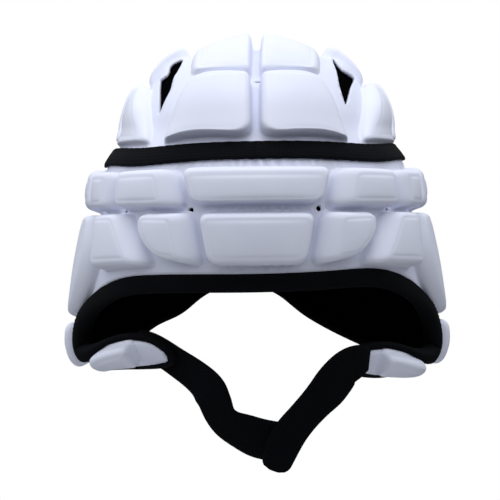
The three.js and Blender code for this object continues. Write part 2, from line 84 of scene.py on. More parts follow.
# Where each of those begins, in millimetres one way, and over how many it comes in.
TAB_BELOW, TAB_AHEAD = (132, 18), (10, 35)
LEAN_ABOVE = (-12, 26)
DENT_ABOVE, DENT_ASIDE = (-48, 18), (44, 22)
TURN_STEP, RUN_STEP = 0.5, 0.2  # how far apart the points are that a normal is taken from
POLE_RUN = 0.5  # nearer the top than this, outwards is up
RUN_ROWS = 4000
SECTION_COLUMNS = ["z", "side", "front", "back"]
SECTIONS = np.array([
    [3.85, 0, 0, 0],
    [2.3, 22, 24, 26],
    [-1, 36, 42, 44],
    [-6, 45.5, 54, 56],
    [-13, 54, 65, 66],
    [-22, 61, 75, 76],
    [-32, 65.5, 84, 85],
    [-42, 68.5, 90, 92],
    [-48.5, 72.8, 94, 96],
    [-53.5, 76.8, 97.5, 99],
    [-58.5, 79.4, 100, 101.5],
    [-70, 81.4, 102.8, 104],
    [-84, 83.2, 104, 105],
    [-98, 86, 104, 104.2],
    [-112, 88.6, 103, 102],
    [-124, 90.4, 101, 99],
    [-136, 92.4, 93, 95],
    [-146, 94.2, 84, 91],
    [-152, 94.3, 80, 88.5],
    [-157, 93, 77.8, 86.5],
    [-161, 90.5, 75.7, 84],
    [-163.5, 87.5, 74, 81],
    [-165.5, 83, 72, 77],
])
SECTION = dict(zip(SECTION_COLUMNS, SECTIONS.T))
outward = np.diff((SECTION["side"] + SECTION["front"]) / 2)
RUNS = np.concatenate([[0], np.cumsum(np.hypot(outward, np.diff(SECTION["z"])))])


def smooth(xs, ys, x, slopes):
    """A smooth curve through a table's rows, with a slope at each."""
    i = np.clip(np.searchsorted(xs, x, side="right") - 1, 0, len(xs) - 2)
    step = xs[i + 1] - xs[i]
    t = (x - xs[i]) / step
    ease = t * t * (3 - 2 * t)
    start, end = t * (1 - t) ** 2 * step, t * t * (t - 1) * step
    return (1 - ease) * ys[i] + ease * ys[i + 1] + start * slopes[i] + end * slopes[i + 1]


def section(name, run):
    """One column of the form's sections, at a run."""
    slopes = np.gradient(SECTION[name], RUNS)
    slopes[1:-1] = (SECTION[name][2:] - SECTION[name][:-2]) / (RUNS[2:] - RUNS[:-2])
    if name == "z":
        slopes[0] = 0
    return smooth(RUNS, SECTION[name], run, slopes)


def come_in(value, begins, over):
    """0 before a change begins, 1 once it has come in, and even between."""
    return np.clip((value - begins) / over, 0, 1)


def unit(vectors):
    """Vectors that point the same ways and are one long."""
    return vectors / np.linalg.norm(vectors, axis=-1, keepdims=True)


def surface(azimuth, run):
    """Points of the cover's outside, in millimetres."""
    azimuth, run = np.broadcast_arrays(np.asarray(azimuth, float), np.asarray(run, float))
    angle = np.radians(azimuth)
    reach = np.where(np.cos(angle) > 0, section("front", run), section("back", run))
    side = np.maximum(section("side", run), 1e-6)
    total = np.abs(np.sin(angle) / side) ** SQUARENESS
    total += np.abs(np.cos(angle) / np.maximum(reach, 1e-6)) ** SQUARENESS
    radius = total ** (-1 / SQUARENESS)
    x, y, z = radius * np.sin(angle), -radius * np.cos(angle), section("z", run)
    at_tab = come_in(-z, *TAB_BELOW) * come_in(-y, *TAB_AHEAD)
    leant = x + CROWN_LEAN * come_in(z, *LEAN_ABOVE)
    leant = leant + SIDE_DENT * come_in(-x, *DENT_ASIDE) * come_in(z, *DENT_ABOVE)
    return np.stack([leant, y, z - TAB_LEAN * np.clip(x / 60, -1, 1) * at_tab], axis=-1)


def normal(azimuth, run):
    """The way outwards from the form."""
    round_ = surface(azimuth + TURN_STEP, run) - surface(azimuth - TURN_STEP, run)
    clear = np.maximum(run, POLE_RUN)
    out = np.cross(surface(azimuth, clear + RUN_STEP) - surface(azimuth, clear - RUN_STEP), round_)
    out[run < POLE_RUN] = (0, 0, 1)
    return unit(out)


def above(azimuth, run, distance):
    """Points at a distance outside (or, below zero, inside) the cover's outside."""
    azimuth, run = np.broadcast_arrays(np.asarray(azimuth, float), np.asarray(run, float))
    distance = np.broadcast_to(np.asarray(distance, float), run.shape)
    return surface(azimuth, run) + normal(azimuth, run) * distance[..., None]


RUN_TABLE = np.linspace(0, RUNS[-1], RUN_ROWS)
HEIGHT_TABLE = section("z", RUN_TABLE)


def run_at(z):
    """The run at which the form has come down to a height."""
    return np.interp(-np.asarray(z, float), -HEIGHT_TABLE, RUN_TABLE)


low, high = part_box("cover")
print("form's width", round(2 * SECTION["side"].max(), 1))
print("CAD cover's width", round((high.x - low.x) / MM, 1))

# %% [markdown]
# ## Meshes from grids
# Each cloth piece is a grid over the form with two faces and a wall round its edge, and each
# carries a flat layout in millimetres as its UV map, so that knit and ribs can follow the
# cloth. One helper turns points and faces into a finished Blender object.

# %% Mesh helpers
def link_object(name, data):
    """An object for a mesh, a light or a camera, put in the scene."""
    obj = bpy.data.objects.new(name, data)
    bpy.context.scene.collection.objects.link(obj)
    return obj


def make_object(name, points, faces, layout=None):
    """A mesh object from points in millimetres. layout gives each point's place on the cloth."""
    mesh = bpy.data.meshes.new(name)
    mesh.from_pydata((np.asarray(points) * MM).tolist(), [], faces)
    if layout is not None:
        uv = mesh.uv_layers.new(name="cloth")
        corners = np.zeros(len(mesh.loops), int)
        mesh.loops.foreach_get("vertex_index", corners)
        uv.data.foreach_set("uv", (np.asarray(layout) * MM)[corners].ravel())
    tidy = bmesh.new()
    tidy.from_mesh(mesh)
    bmesh.ops.remove_doubles(tidy, verts=tidy.verts, dist=1e-7)
    bmesh.ops.recalc_face_normals(tidy, faces=tidy.faces)
    tidy.to_mesh(mesh)
    tidy.free()
    mesh.shade_smooth()
    return link_object(name, mesh)


def plain_mesh(obj):
    """A plain mesh of what an object's modifiers make of it."""
    depsgraph = bpy.context.evaluated_depsgraph_get()
    evaluated = obj.evaluated_get(depsgraph)
    return bpy.data.meshes.new_from_object(evaluated, depsgraph=depsgraph)


def finish_piece(obj, material, slot, *nodes):
    """Gives a piece its finish, hangs it on the root body, and hides the CAD nodes that it stands
    for.
    """
    obj.data.materials.clear()
    obj.data.materials.append(material)
    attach(obj, "root")
    if nodes:
        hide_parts(*nodes)
    return obj


def shell(outer, inner, present):
    """Points and faces of a walled sheet from two grids of points, open where cells are absent.
    The first axis of the grids goes round and closes on itself."""
    columns, rows = outer.shape[:2]
    points = np.concatenate([outer.reshape(-1, 3), inner.reshape(-1, 3)])
    half = columns * rows
    faces = []

    def there(i, j):
        return 0 <= j < rows - 1 and present[i % columns, j]

    for i in range(columns):
        ahead = (i + 1) % columns
        for j in range(rows - 1):
            if not present[i, j]:
                continue
            a, b, c, d = i * rows + j, i * rows + j + 1, ahead * rows + j + 1, ahead * rows + j
            faces.append((a, b, c, d))
            faces.append((d + half, c + half, b + half, a + half))
            if not there(i - 1, j):
                faces.append((a + half, b + half, b, a))
            if not there(i, j + 1):
                faces.append((b + half, c + half, c, b))
            if not there(i + 1, j):
                faces.append((c + half, d + half, d, c))
            if j > 0 and not there(i, j - 1):
                faces.append((d + half, a + half, a, d))
    return points, faces


# %% [markdown]
# ## Writing materials as sums
# Node trees are easier to read as arithmetic. A small class wraps a socket, so that Python's
# own operators add the Math nodes, and one method adds any other node.

# %% A shader in a few expressions
class Shade:
    """A node tree being written, or one value in it."""

    def __init__(self, tree, socket=None):
        self.tree, self.socket = tree, socket

    def node(self, kind, settings=None, output=0, **inputs):
        """Adds a node, sets it up, and feeds its inputs, which are named or numbered in_0, in_1."""
        made = self.tree.nodes.new(kind)
        for name, value in (settings or {}).items():
            setattr(made, name, value)
        for name, value in inputs.items():
            key = int(name[3:]) if name.startswith("in_") else name.replace("_", " ")
            self.feed(made.inputs[key], value)
        return Shade(self.tree, made.outputs[output])

    def feed(self, socket, value):
        if isinstance(value, Shade):
            self.tree.links.new(value.socket, socket)
        else:
            socket.default_value = value

    def other(self, output):
        """Another output of the node that this value comes from."""
        return Shade(self.tree, self.socket.node.outputs[output])

    def maths(self, operation, first, second=0.0):
        return self.node("ShaderNodeMath", {"operation": operation}, in_0=first, in_1=second)

    def __add__(self, other):
        return self.maths("ADD", self, other)

    def __radd__(self, other):
        return self.maths("ADD", other, self)

    def __sub__(self, other):
        return self.maths("SUBTRACT", self, other)

    def __rsub__(self, other):
        return self.maths("SUBTRACT", other, self)

    def __mul__(self, other):
        return self.maths("MULTIPLY", self, other)

    def __rmul__(self, other):
        return self.maths("MULTIPLY", other, self)

    def sine(self):
        return self.maths("SINE", self)

    def clamped(self, low, high):
        return self.node("ShaderNodeClamp", in_0=self, in_1=low, in_2=high)

    def blend(self, first, second):
        """Two colours mixed by this value."""
        settings = {"data_type": "RGBA"}
        return self.node("ShaderNodeMix", settings, output=2, in_0=self, in_6=first, in_7=second)


def new_material(name, roughness, specular=0.5):
    """A material, its shader node, and the tree to write in."""
    material = bpy.data.materials.new(name)
    material.use_nodes = True
    shader = material.node_tree.nodes["Principled BSDF"]
    shader.inputs["Roughness"].default_value = roughness
    shader.inputs["Specular IOR Level"].default_value = specular
    return material, shader, Shade(material.node_tree)


def rgb(red, green, blue):
    return (red, green, blue, 1.0)


def noise(tree, scale, detail):
    """Noise that stays with the piece, because it reads Object coordinates."""
    where = tree.node("ShaderNodeTexCoord", output="Object")
    return tree.node("ShaderNodeTexNoise", Vector=where, Scale=scale, Detail=detail)


def on_the_cloth(tree):
    """A point's place on the cloth's own layout, in metres: round the head, and down it."""
    layout = tree.node("ShaderNodeUVMap", {"uv_map": "cloth"})
    round_ = tree.node("ShaderNodeSeparateXYZ", in_0=layout)
    return round_, round_.other(1)


# %% [markdown]
# ### White stretch cloth
# The cover is a smooth warp knit with a fine rib about two thirds of a millimetre wide. The
# rib is bump that follows the cloth's own layout, and slow noise gives the slight ripple that
# stretched cloth has over foam.

# %% Cloth finishes
SLOW_NOISE, FUZZ_NOISE = (55.0, 3.0), (1400.0, 2.0)  # how fine, and how much detail


def knit(name, light, dark, rib, depth, roughness, ripple=0.0, specular=0.5):
    """Knitted cloth. rib is its pitch in metres, depth how deep the bump is, and ripple how
    far the stretched cloth waves."""
    material, shader, tree = new_material(name, roughness, specular)
    round_, down = on_the_cloth(tree)
    turn = 2 * math.pi / rib
    wales = (round_ * turn).sine()
    courses = (down * turn * 0.8 + round_ * turn * 0.5).sine()
    loops = wales * 0.6 + courses * 0.4
    slow = noise(tree, *SLOW_NOISE)
    height = loops * 0.5 + noise(tree, *FUZZ_NOISE) * 0.6
    bump = tree.node("ShaderNodeBump", Strength=0.3, Distance=depth, Height=height)
    if ripple:
        bump = tree.node("ShaderNodeBump", Strength=0.5, Distance=ripple, Height=slow, Normal=bump)
    tone = (loops * 0.25 + slow * 0.8).clamped(0.0, 1.0)
    tree.feed(shader.inputs["Base Color"], tone.blend(rgb(*dark), rgb(*light)))
    tree.feed(shader.inputs["Roughness"], roughness - 0.08 + slow * 0.16)
    tree.feed(shader.inputs["Normal"], bump)
    return material


WHITE = knit(
    "white_stretch_cloth", (0.80, 0.82, 0.93), (0.74, 0.76, 0.89),
    rib=0.0007, depth=0.00005, roughness=0.5, ripple=0.0006, specular=0.35,
)
PAD_WHITE = knit(
    "white_pad_cloth", (0.82, 0.84, 0.94), (0.77, 0.79, 0.91),
    rib=0.0007, depth=0.00005, roughness=0.46, ripple=0.0005, specular=0.35,
)
LINING = knit(
    "black_lining_knit", (0.0022, 0.0024, 0.0028), (0.001, 0.001, 0.0012),
    rib=0.0009, depth=0.00008, roughness=0.95, specular=0.0,
)
BLACK, DEEP_BLACK = (0.004, 0.0045, 0.006), (0.002, 0.0022, 0.003)
BINDING = knit(
    "black_binding_cloth", BLACK, DEEP_BLACK,
    rib=0.0009, depth=0.0001, roughness=0.85, ripple=0.0006, specular=0.06,
)
STRAP = knit(
    "black_strap_cloth", BLACK, DEEP_BLACK,
    rib=0.0011, depth=0.0001, roughness=0.85, ripple=0.0008, specular=0.05,
)
print("cloth finishes:", [m.name for m in bpy.data.materials])


# %% Ribbed elastic
RIB_PITCH, CORD_PITCH = 0.0011, 0.0016  # metres, round the head and down it


def ribbed_elastic():
    """Woven elastic: fine ribs across the band, and broader cords along it."""
    material, shader, tree = new_material("black_ribbed_elastic", 0.8, 0.05)
    round_, down = on_the_cloth(tree)
    ribs = (round_ * (2 * math.pi / RIB_PITCH)).sine()
    cords = (down * (2 * math.pi / CORD_PITCH)).sine()
    height = ribs * 0.7 + cords * 0.5
    bump = tree.node("ShaderNodeBump", Strength=0.6, Distance=0.00018, Height=height)
    tone = (ribs * 0.4 + 0.5).clamped(0.0, 1.0)
    colour = tone.blend(rgb(0.0022, 0.0024, 0.003), rgb(0.0055, 0.006, 0.0075))
    tree.feed(shader.inputs["Base Color"], colour)
    tree.feed(shader.inputs["Normal"], bump)
    return material


ELASTIC = ribbed_elastic()


def thread(name, colour):
    """Sewing thread, a little darker here and there along its twist."""
    material, shader, tree = new_material(name, 0.8, 0.08)
    darker = tuple(0.8 * c for c in colour)
    twist = noise(tree, 3000.0, 1.0)
    tree.feed(shader.inputs["Base Color"], twist.blend(rgb(*darker), rgb(*colour)))
    return material


BLACK_THREAD = thread("black_thread", (0.0045, 0.005, 0.0065))

# %% [markdown]
# ## The long edge
# One edge runs under the brow, down the front of each flap, along the jaw tab and back
# beneath it, and round the nape. The table gives its height at each azimuth, as the CAD
# model has it, and a curve that never overshoots joins the rows.

# %% The edge and the skins' grid
OPENING_BACK = 81.0
TAB_FRONT = 33.5
EDGE_COLUMNS = ["azimuth", "brow", "jaw", "hem"]
EDGES = np.array([
    [0, -114, -160, -165.5],
    [11, -114, -160, -165.5],
    [22, -114.1, -160, -165.5],
    [33.5, -114.4, -157.5, -161.5],
    [39, -114.9, -152.6, -163],
    [46, -116.4, -151.6, -164.6],
    [55, -120.1, -153.4, -165.5],
    [64, -125.8, -157.6, -165.5],
    [72, -133.3, -160.2, -165.5],
    [78, -143.5, -160, -165.5],
    [81, -152, -157.5, -165.5],
    [90, -151.5, -157.5, -165.3],
    [103, -149.8, -156.8, -164.4],
    [116, -145.6, -154.3, -162],
    [129, -139, -148.7, -157.5],
    [142, -130.3, -140.8, -150],
    [155, -120, -129, -139.3],
    [168, -114, -118.6, -123.5],
    [180, -112.8, -115.4, -118.5],
])
EDGE = dict(zip(EDGE_COLUMNS, EDGES.T))
BROW_TILT = 1.1  # the brow line is that much higher on the wearer's left
BROW_LEVELS = (-80, 25)  # minus the azimuth where that has faded, and over how many degrees
BROW_DIP, BROW_DIP_WIDTH = 0.7, 20  # the brow line's middle is lower
BROW_RISE, BROW_RISE_AT = 1.3, (34, 13)  # and it is higher there: azimuth, and how far round
NAPE_TURN = 6.5  # the nape's arch sits this many degrees to the right of the middle
# The arch's right side runs straighter: azimuth, how far round, and how much higher.
NAPE_LIFTS = [(214, 10, 3.8), (226, 13, 3.0), (194, 8, -1.5)]
NAPE_SHARES = {"brow": 0, "jaw": 0.5, "hem": 1}


def steady(xs, ys, x):
    """A smooth curve through a table's rows that never overshoots them."""
    rise = np.diff(ys) / np.diff(xs)
    slopes = np.zeros_like(ys)
    together = rise[:-1] * rise[1:] > 0
    slopes[1:-1][together] = 2 / (1 / rise[:-1][together] + 1 / rise[1:][together])
    return smooth(xs, ys, x, slopes)


def bell(x, middle, width):
    return np.exp(-(((x - middle) / width) ** 2))


def from_front(azimuth):
    """Degrees away from the front, either way."""
    around = np.asarray(azimuth, float) % 360
    return np.minimum(around, 360 - around)


def edge_run(line, azimuth):
    """The run of one line of the edge, at azimuths from 0 to 360 before the nape's turn."""
    aside = from_front(azimuth)
    height = steady(EDGE["azimuth"], EDGE[line], aside)
    if line == "brow":
        tilt = BROW_TILT * np.sin(np.radians(azimuth)) * come_in(-aside, *BROW_LEVELS)
        rise = BROW_RISE * bell(azimuth, *BROW_RISE_AT)
        height = height + tilt + rise - BROW_DIP * bell(aside, 0, BROW_DIP_WIDTH)
    for middle, width, lift in NAPE_LIFTS:
        height = height + NAPE_SHARES[line] * lift * bell(azimuth, middle, width)
    return run_at(height)


def turned(azimuth):
    """The azimuth with the nape turned to its place."""
    back = (azimuth > 90) & (azimuth < 270)
    return azimuth + back * NAPE_TURN * np.cos(np.radians(azimuth)) ** 2


LAST_LEVEL = -92.0  # rows are level down to here, and below they follow the edge
STRETCHES = (22, 24, 8)  # about how long it then is to the brow line, the jaw and the hem
HEAD_RADIUS = 85  # turns an angle round the head into a length of cloth


def skin_grid(columns, row_step):
    """The azimuths and runs of a skin's grid, and which of its cells are cloth."""
    last_level = run_at(LAST_LEVEL)
    levels = np.linspace(0, last_level, int(last_level / row_step))
    brow, jaw, hem = (edge_run(line, columns)[:, None] for line in ("brow", "jaw", "hem"))

    def rows(start, end, count):
        return start + (end - start) * np.linspace(0, 1, count + 1)[1:]

    counts = [max(2, round(length / row_step)) for length in STRETCHES]
    runs = np.concatenate([
        np.broadcast_to(levels, (len(columns), len(levels))),
        rows(last_level, brow, counts[0]),
        rows(brow, jaw, counts[1]),
        rows(jaw, hem, counts[2]),
    ], axis=1)
    aside = from_front(columns + np.diff(columns, append=360) / 2)[:, None]
    row = np.arange(runs.shape[1] - 1)[None, :]
    brow_row = len(levels) - 1 + counts[0]
    jaw_row = brow_row + counts[1]
    present = (row < brow_row) | ((row < jaw_row) & (aside > OPENING_BACK))
    present |= (row >= jaw_row) & (aside > TAB_FRONT)
    azimuths = np.broadcast_to(turned(columns)[:, None], runs.shape)
    return azimuths, runs, present


def cloth_layout(azimuths, runs):
    """A flat layout, in millimetres: round the head and down it."""
    return np.stack([np.radians(azimuths) * HEAD_RADIUS, runs], axis=-1)


# %% [markdown]
# ## The cover
# The cover is one stretched knit. It lies smooth under the pads, but puckers where seams
# gather it: just below the elastic band, in the groove over the brow pads, and in the strip
# above the binding. Real small folds, a few millimetres apart, make those. The grid is finer
# at the front, where they are, than at the back.

# %% The cover's folds
COVER_THICK = 1.6
LINING_THICK = 1.5
SKIN_GAP = 0.75
FOLDS = 5
rng = np.random.default_rng(7)
FOLD_PITCH = rng.uniform(1.7, 4.0, FOLDS)  # degrees round the head
FOLD_SHIFT = rng.uniform(0, 2 * np.pi, FOLDS)


def folds(azimuth, squeeze=1.0):
    """Uneven small folds round the head, from -1 to 1."""
    turn = 2 * np.pi * np.asarray(azimuth, float) * squeeze
    waves = zip(FOLD_PITCH, FOLD_SHIFT)
    return sum(np.sin(turn / pitch + shift) for pitch, shift in waves) / FOLDS


def ease(x, low, high):
    """0 below low, 1 above high, and smooth between."""
    t = np.clip((x - low) / (high - low), 0, 1)
    return t * t * (3 - 2 * t)


def soften(values, times):
    """Evens out a closed run of values."""
    for _ in range(times):
        values = (np.roll(values, 1, axis=0) + 2 * values + np.roll(values, -1, axis=0)) / 4
    return values


VENT_LIFT = 3.4  # how far the pads behind a vent lift the cloth
VENT_LIFT_AT = (49, 7)  # its middle, across and ahead
VENT_LIFT_WIDTH = 11


def vent_lift(azimuth, run):
    """How far the cloth is lifted behind the vents, in millimetres."""
    angle = np.radians(azimuth)
    across, ahead = np.abs(run * np.sin(angle)), run * np.cos(angle)
    away = np.hypot(across - VENT_LIFT_AT[0], (ahead - VENT_LIFT_AT[1]) * 0.8)
    return VENT_LIFT * bell(away, 0, VENT_LIFT_WIDTH)


# Lines of folds: height, half width, how deep they are everywhere, and how much more in front.
FOLD_LINES = [
    (-60.4, 2.6, 0.25, 1.0),  # under the band
    (-83.6, 1.8, 0.2, 1.1),  # the groove over the brow pads
    (-111.6, 1.8, 0.1, 1.0),  # the strip above the binding
]
FOLDS_AT = (4, 15)  # the azimuth in the middle of the folds in front, and how far round
OTHER_FOLDS = (40, 1.3)  # the lower lines' folds are turned and closer, so that they differ


def cover_height(azimuth, run):
    """How far the cover stands off the plain form, in millimetres."""
    middle, width = FOLDS_AT
    front = bell(from_front(azimuth - middle), 0, width)
    under_band, groove, brow_strip = (
        bell(run, run_at(height), half) * (usual + more * front)
        for height, half, usual, more in FOLD_LINES
    )
    turn, squeeze = OTHER_FOLDS
    wrinkles = folds(azimuth) * under_band + folds(azimuth + turn, squeeze) * (groove + brow_strip)
    return wrinkles + vent_lift(azimuth, run)


def skin_columns(fine, coarse, fine_to):
    """Azimuths once round, closer together at the front."""
    behind = np.linspace(fine_to, 180, int((180 - fine_to) / coarse))
    half = np.concatenate([np.arange(0, fine_to, fine), behind])
    return np.concatenate([half, 360 - half[1:-1][::-1]])


def make_skin(name, columns, row_step, outer, inner):
    """A skin of cloth over the whole form. outer gives its outside at an azimuth and a run,
    and inner is how far its inside is from the cover's plain outside."""
    azimuths, runs, present = skin_grid(columns, row_step)
    outside = above(azimuths, runs, outer(azimuths, runs))
    inside = above(azimuths, runs, inner + vent_lift(azimuths, runs))
    points, faces = shell(outside, inside, present)
    layout = np.tile(cloth_layout(azimuths, runs).reshape(-1, 2), (2, 1))
    return make_object(name, points, faces, layout)


LINING_OUTSIDE = -(COVER_THICK + SKIN_GAP)


def lining_height(azimuth, run):
    return LINING_OUTSIDE + vent_lift(azimuth, run)


COVER_COLUMNS, COVER_STEP = skin_columns(0.5, 2.0, 30), 1.7
LINING_COLUMNS, LINING_STEP = skin_columns(2.0, 3.0, 48), 3.0
cover = make_skin("cover_cloth", COVER_COLUMNS, COVER_STEP, cover_height, -COVER_THICK)
lining_inside = LINING_OUTSIDE - LINING_THICK
lining = make_skin("lining_cloth", LINING_COLUMNS, LINING_STEP, lining_height, lining_inside)
print("cover and lining:", len(cover.data.polygons), len(lining.data.polygons), "faces")

# %% [markdown]
# ### Holes punched by Geometry Nodes
# The ear holes, the eyelets where the grooves cross and the two vents go right through the
# cloth. The tree puts a round cutter on every point of a small object, turned to the point's
# own facing, adds the vents' cutters, and takes them all away from the cloth.

# %% A tree that punches holes
def new_tree(name, inputs):
    """A geometry tree with named inputs after its geometry."""
    tree = bpy.data.node_groups.new(name, "GeometryNodeTree")
    tree.interface.new_socket("Geometry", in_out="INPUT", socket_type="NodeSocketGeometry")
    for socket_name, kind in inputs.items():
        tree.interface.new_socket(socket_name, in_out="INPUT", socket_type=kind)
    tree.interface.new_socket("Geometry", in_out="OUTPUT", socket_type="NodeSocketGeometry")
    start = tree.nodes.new("NodeGroupInput")
    named = [socket for socket in start.outputs if socket.name]
    return Shade(tree), {socket.name: Shade(tree, socket) for socket in named}


def end_tree(build, geometry, material):
    """Realises and finishes what the tree has made."""
    real = build.node("GeometryNodeRealizeInstances", in_0=geometry)
    done = build.node("GeometryNodeSetMaterial", in_0=real, Material=material)
    build.feed(build.tree.nodes.new("NodeGroupOutput").inputs[0], done)
    return build.tree


def run_tree(obj, tree, values):
    """Runs a tree on an object, its inputs set by identifier, and keeps the plain mesh."""
    modifier = obj.modifiers.new(tree.name, "NODES")
    modifier.node_group = tree
    for item in tree.interface.items_tree:
        if item.in_out == "INPUT" and item.name in values:
            modifier[item.identifier] = values[item.name]
    mesh = plain_mesh(obj)
    obj.modifiers.remove(modifier)
    obj.data = mesh
    obj.data.shade_smooth()


def turned_to(build, direction):
    """The rotation that turns Z to a direction."""
    return build.node("FunctionNodeAlignRotationToVector", {"axis": "Z"}, Vector=direction)


CUTTER_SIDES, CUTTER_DEPTH = 16, 0.04


def punch_tree():
    """Cuts a round hole at every place, and the vents."""
    kinds = {
        "Places": "NodeSocketObject",
        "Vents": "NodeSocketObject",
        "Diameter": "NodeSocketFloat",
        "Material": "NodeSocketMaterial",
    }
    build, given = new_tree("punch_holes", kinds)
    places = build.node("GeometryNodeObjectInfo", in_0=given["Places"]).other("Geometry")
    vents = build.node("GeometryNodeObjectInfo", in_0=given["Vents"]).other("Geometry")
    radius = given["Diameter"] * 0.5
    cutter = build.node(
        "GeometryNodeMeshCylinder", Vertices=CUTTER_SIDES, Radius=radius, Depth=CUTTER_DEPTH
    )
    vector = {"data_type": "FLOAT_VECTOR"}
    facing = build.node("GeometryNodeInputNamedAttribute", vector, Name="facing")
    rotation = turned_to(build, facing)
    holes = build.node(
        "GeometryNodeInstanceOnPoints", Points=places, Instance=cutter, Rotation=rotation
    )
    real = build.node("GeometryNodeRealizeInstances", in_0=holes)
    joined = build.node("GeometryNodeJoinGeometry", in_0=real)
    build.feed(joined.socket.node.inputs[0], vents)
    cut = build.node("GeometryNodeMeshBoolean", {"operation": "DIFFERENCE", "solver": "EXACT"})
    build.feed(cut.socket.node.inputs[0], given["Geometry"])
    build.feed(cut.socket.node.inputs[1], joined)
    return end_tree(build, cut, given["Material"])


PUNCH = punch_tree()
print("punch tree:", len(PUNCH.nodes), "nodes")

# %% Where the holes are
EAR_HOLE, LINING_EAR_HOLE, EYELET = 4.4, 6.0, 2.8
# Azimuth and height. The ear holes are the same on both sides.
EAR_HOLES = np.array([(102, -120), (110, -120), (118, -120), (106, -129), (114, -129)])
EYELETS = np.array([(17.2, -82.9), (44, -83.6), (-18.3, -83.3), (-44, -83.6)])
# The vents' corners on the flattened crown: across and ahead, each from its own side.
VENT_LEFT = [
    (44, 4), (45, 14), (47, 20.7), (51, 25), (56, 20), (61, 12), (59, 28),
    (54.8, 46), (51.4, 69.5), (47.8, 62), (45.3, 54), (43.8, 36), (43, 20),
]
VENT_RIGHT = [
    (45, 8.5), (47.5, 11.5), (49.7, 15.7), (50.2, 24), (51.5, 29), (54.5, 29),
    (57.2, 26.4), (56.8, 38), (56.4, 52.4), (58, 69.5), (52, 63.2), (46.2, 57.5),
    (44, 46), (41.6, 40), (40.6, 28), (41, 15), (43, 9),
]
VENT_CUT = (-2.5, 9.0)  # from how far inside the cover's outside to how far above it
SLITS = [(70.7, 2.6), (4.2, 2.4)]  # how far ahead each is, and how far across it goes
SLIT_HALF = 0.6  # half its width


def slit(ahead, reach):
    """A small slit across the middle groove, where two rows of pads meet."""
    near, far = ahead - SLIT_HALF, ahead + SLIT_HALF
    return [
        (-1.2, ahead), (0.6, near), (reach, near),
        (reach + 0.9, ahead + 0.3), (reach, far), (0.6, far),
    ]


def from_crown(across, ahead):
    """The flattened crown's across and ahead, as azimuth and run."""
    return np.degrees(np.arctan2(across, ahead)), np.hypot(across, ahead)


def hole_places(name, azimuth, run):
    """An object of loose points on the form, each of which stores the way that it faces."""
    mesh = bpy.data.meshes.new(name)
    mesh.from_pydata((surface(azimuth, run) * MM).tolist(), [], [])
    facing = mesh.attributes.new("facing", "FLOAT_VECTOR", "POINT")
    facing.data.foreach_set("vector", normal(azimuth, run).ravel())
    return link_object(name, mesh)


def both_sides(table):
    """A table's azimuths and runs on the wearer's left, then on the right."""
    azimuth = np.concatenate([table[:, 0], -table[:, 0]])
    return azimuth, run_at(np.tile(table[:, 1], 2))


def rounded_loop(points, per_span=6):
    """A closed line through a few points, with its corners rounded."""
    points = np.asarray(points, float)
    t = np.linspace(0, 1, per_span, endpoint=False)[:, None]
    spans = zip(points, np.roll(points, -1, axis=0))
    return soften(np.concatenate([a + (b - a) * t for a, b in spans]), 3)


def vent_cutter(name, tables):
    """Prisms through the cloth at the vents' outlines."""
    points, faces = [], []
    for side, table in tables:
        outline = rounded_loop(table)
        azimuth, run = from_crown(side * outline[:, 0], outline[:, 1])
        low, count = len(points), len(outline)
        high = low + count
        points += [point for distance in VENT_CUT for point in above(azimuth, run, distance)]
        faces += [tuple(range(low, high)), tuple(range(high, high + count))]
        for i in range(count):
            j = (i + 1) % count
            faces.append((low + i, low + j, high + j, high + i))
    return make_object(name, points, faces)


ear_places = hole_places("ear_places", *both_sides(EAR_HOLES))
eyelet_places = hole_places("eyelet_places", EYELETS[:, 0], run_at(EYELETS[:, 1]))
slits = [(1, slit(*row)) for row in SLITS]
vents = vent_cutter("vent_cutters", [(1, VENT_LEFT), (-1, VENT_RIGHT), *slits])
nothing = hole_places("no_places", np.zeros(0), np.zeros(0))


def punch(obj, places, diameter, material, vent_object=nothing):
    """Makes the holes in a piece."""
    before = len(obj.data.polygons)
    values = {"Places": places, "Vents": vent_object, "Diameter": diameter * MM}
    run_tree(obj, PUNCH, {**values, "Material": material})
    print(obj.name, "punched:", before, "to", len(obj.data.polygons), "faces")


punch(cover, ear_places, EAR_HOLE, WHITE)
punch(cover, eyelet_places, EYELET, WHITE, vents)
punch(lining, ear_places, LINING_EAR_HOLE, LINING)


def cloth_area(obj):
    """The area of one face of a thin cloth."""
    return sum(p.area for p in obj.data.polygons) / 2


finish_piece(cover, WHITE, "white_cover", "cover")
finish_piece(lining, LINING, "black_lining", "lining")

# %% [markdown]
# ## The foam pads
# Each pad is a block of closed-cell foam, moulded or cut with a rounded shoulder and glued
# under the cloth, which is drawn tight over it. A cube with a bevel would not follow the head,
# so each pad is its own grid: a face of cells, then rings that come down over the shoulder
# and the wall and run out in a small fillet on the cover. Corners are arcs, and each side can
# have a wider shoulder than the others.

# %% The pads' tables
CROWN_PAD, RING_PAD, JAW_PAD = 9.5, 8.6, 7.0
SEAT_GAP = 0.6
CROWNING = 0.7  # how far a pad's face bulges
# Name, thickness, and corners on the flattened crown, across and ahead: the front side's
# inner and outer ones, then the back side's outer and inner ones. The front side is its top.
CROWN_PADS = [
    ("pad_crown_front", CROWN_PAD, [[2.1, 110.2], [53, 96.4], [32.5, 64.5], [2.1, 71.6]]),
    ("pad_crown_top", CROWN_PAD - 0.6, [[2.1, 69.6], [30, 56], [30.5, 6], [2.1, 6]]),
    ("pad_crown_back_top", CROWN_PAD + 0.8, [[3.4, 2.5], [34, 2.5], [34, -49], [3.4, -56]]),
    ("pad_crown_back", CROWN_PAD, [[3.4, -59.5], [37.5, -51], [58, -86], [3.4, -103]]),
    ("pad_crown_side_top", CROWN_PAD, [[38, 3], [66.5, 13], [67, -26], [38, -28]]),
    ("pad_crown_side_back", CROWN_PAD - 1, [[38, -31.5], [59.5, -28], [48, -45], [38.5, -46]]),
]
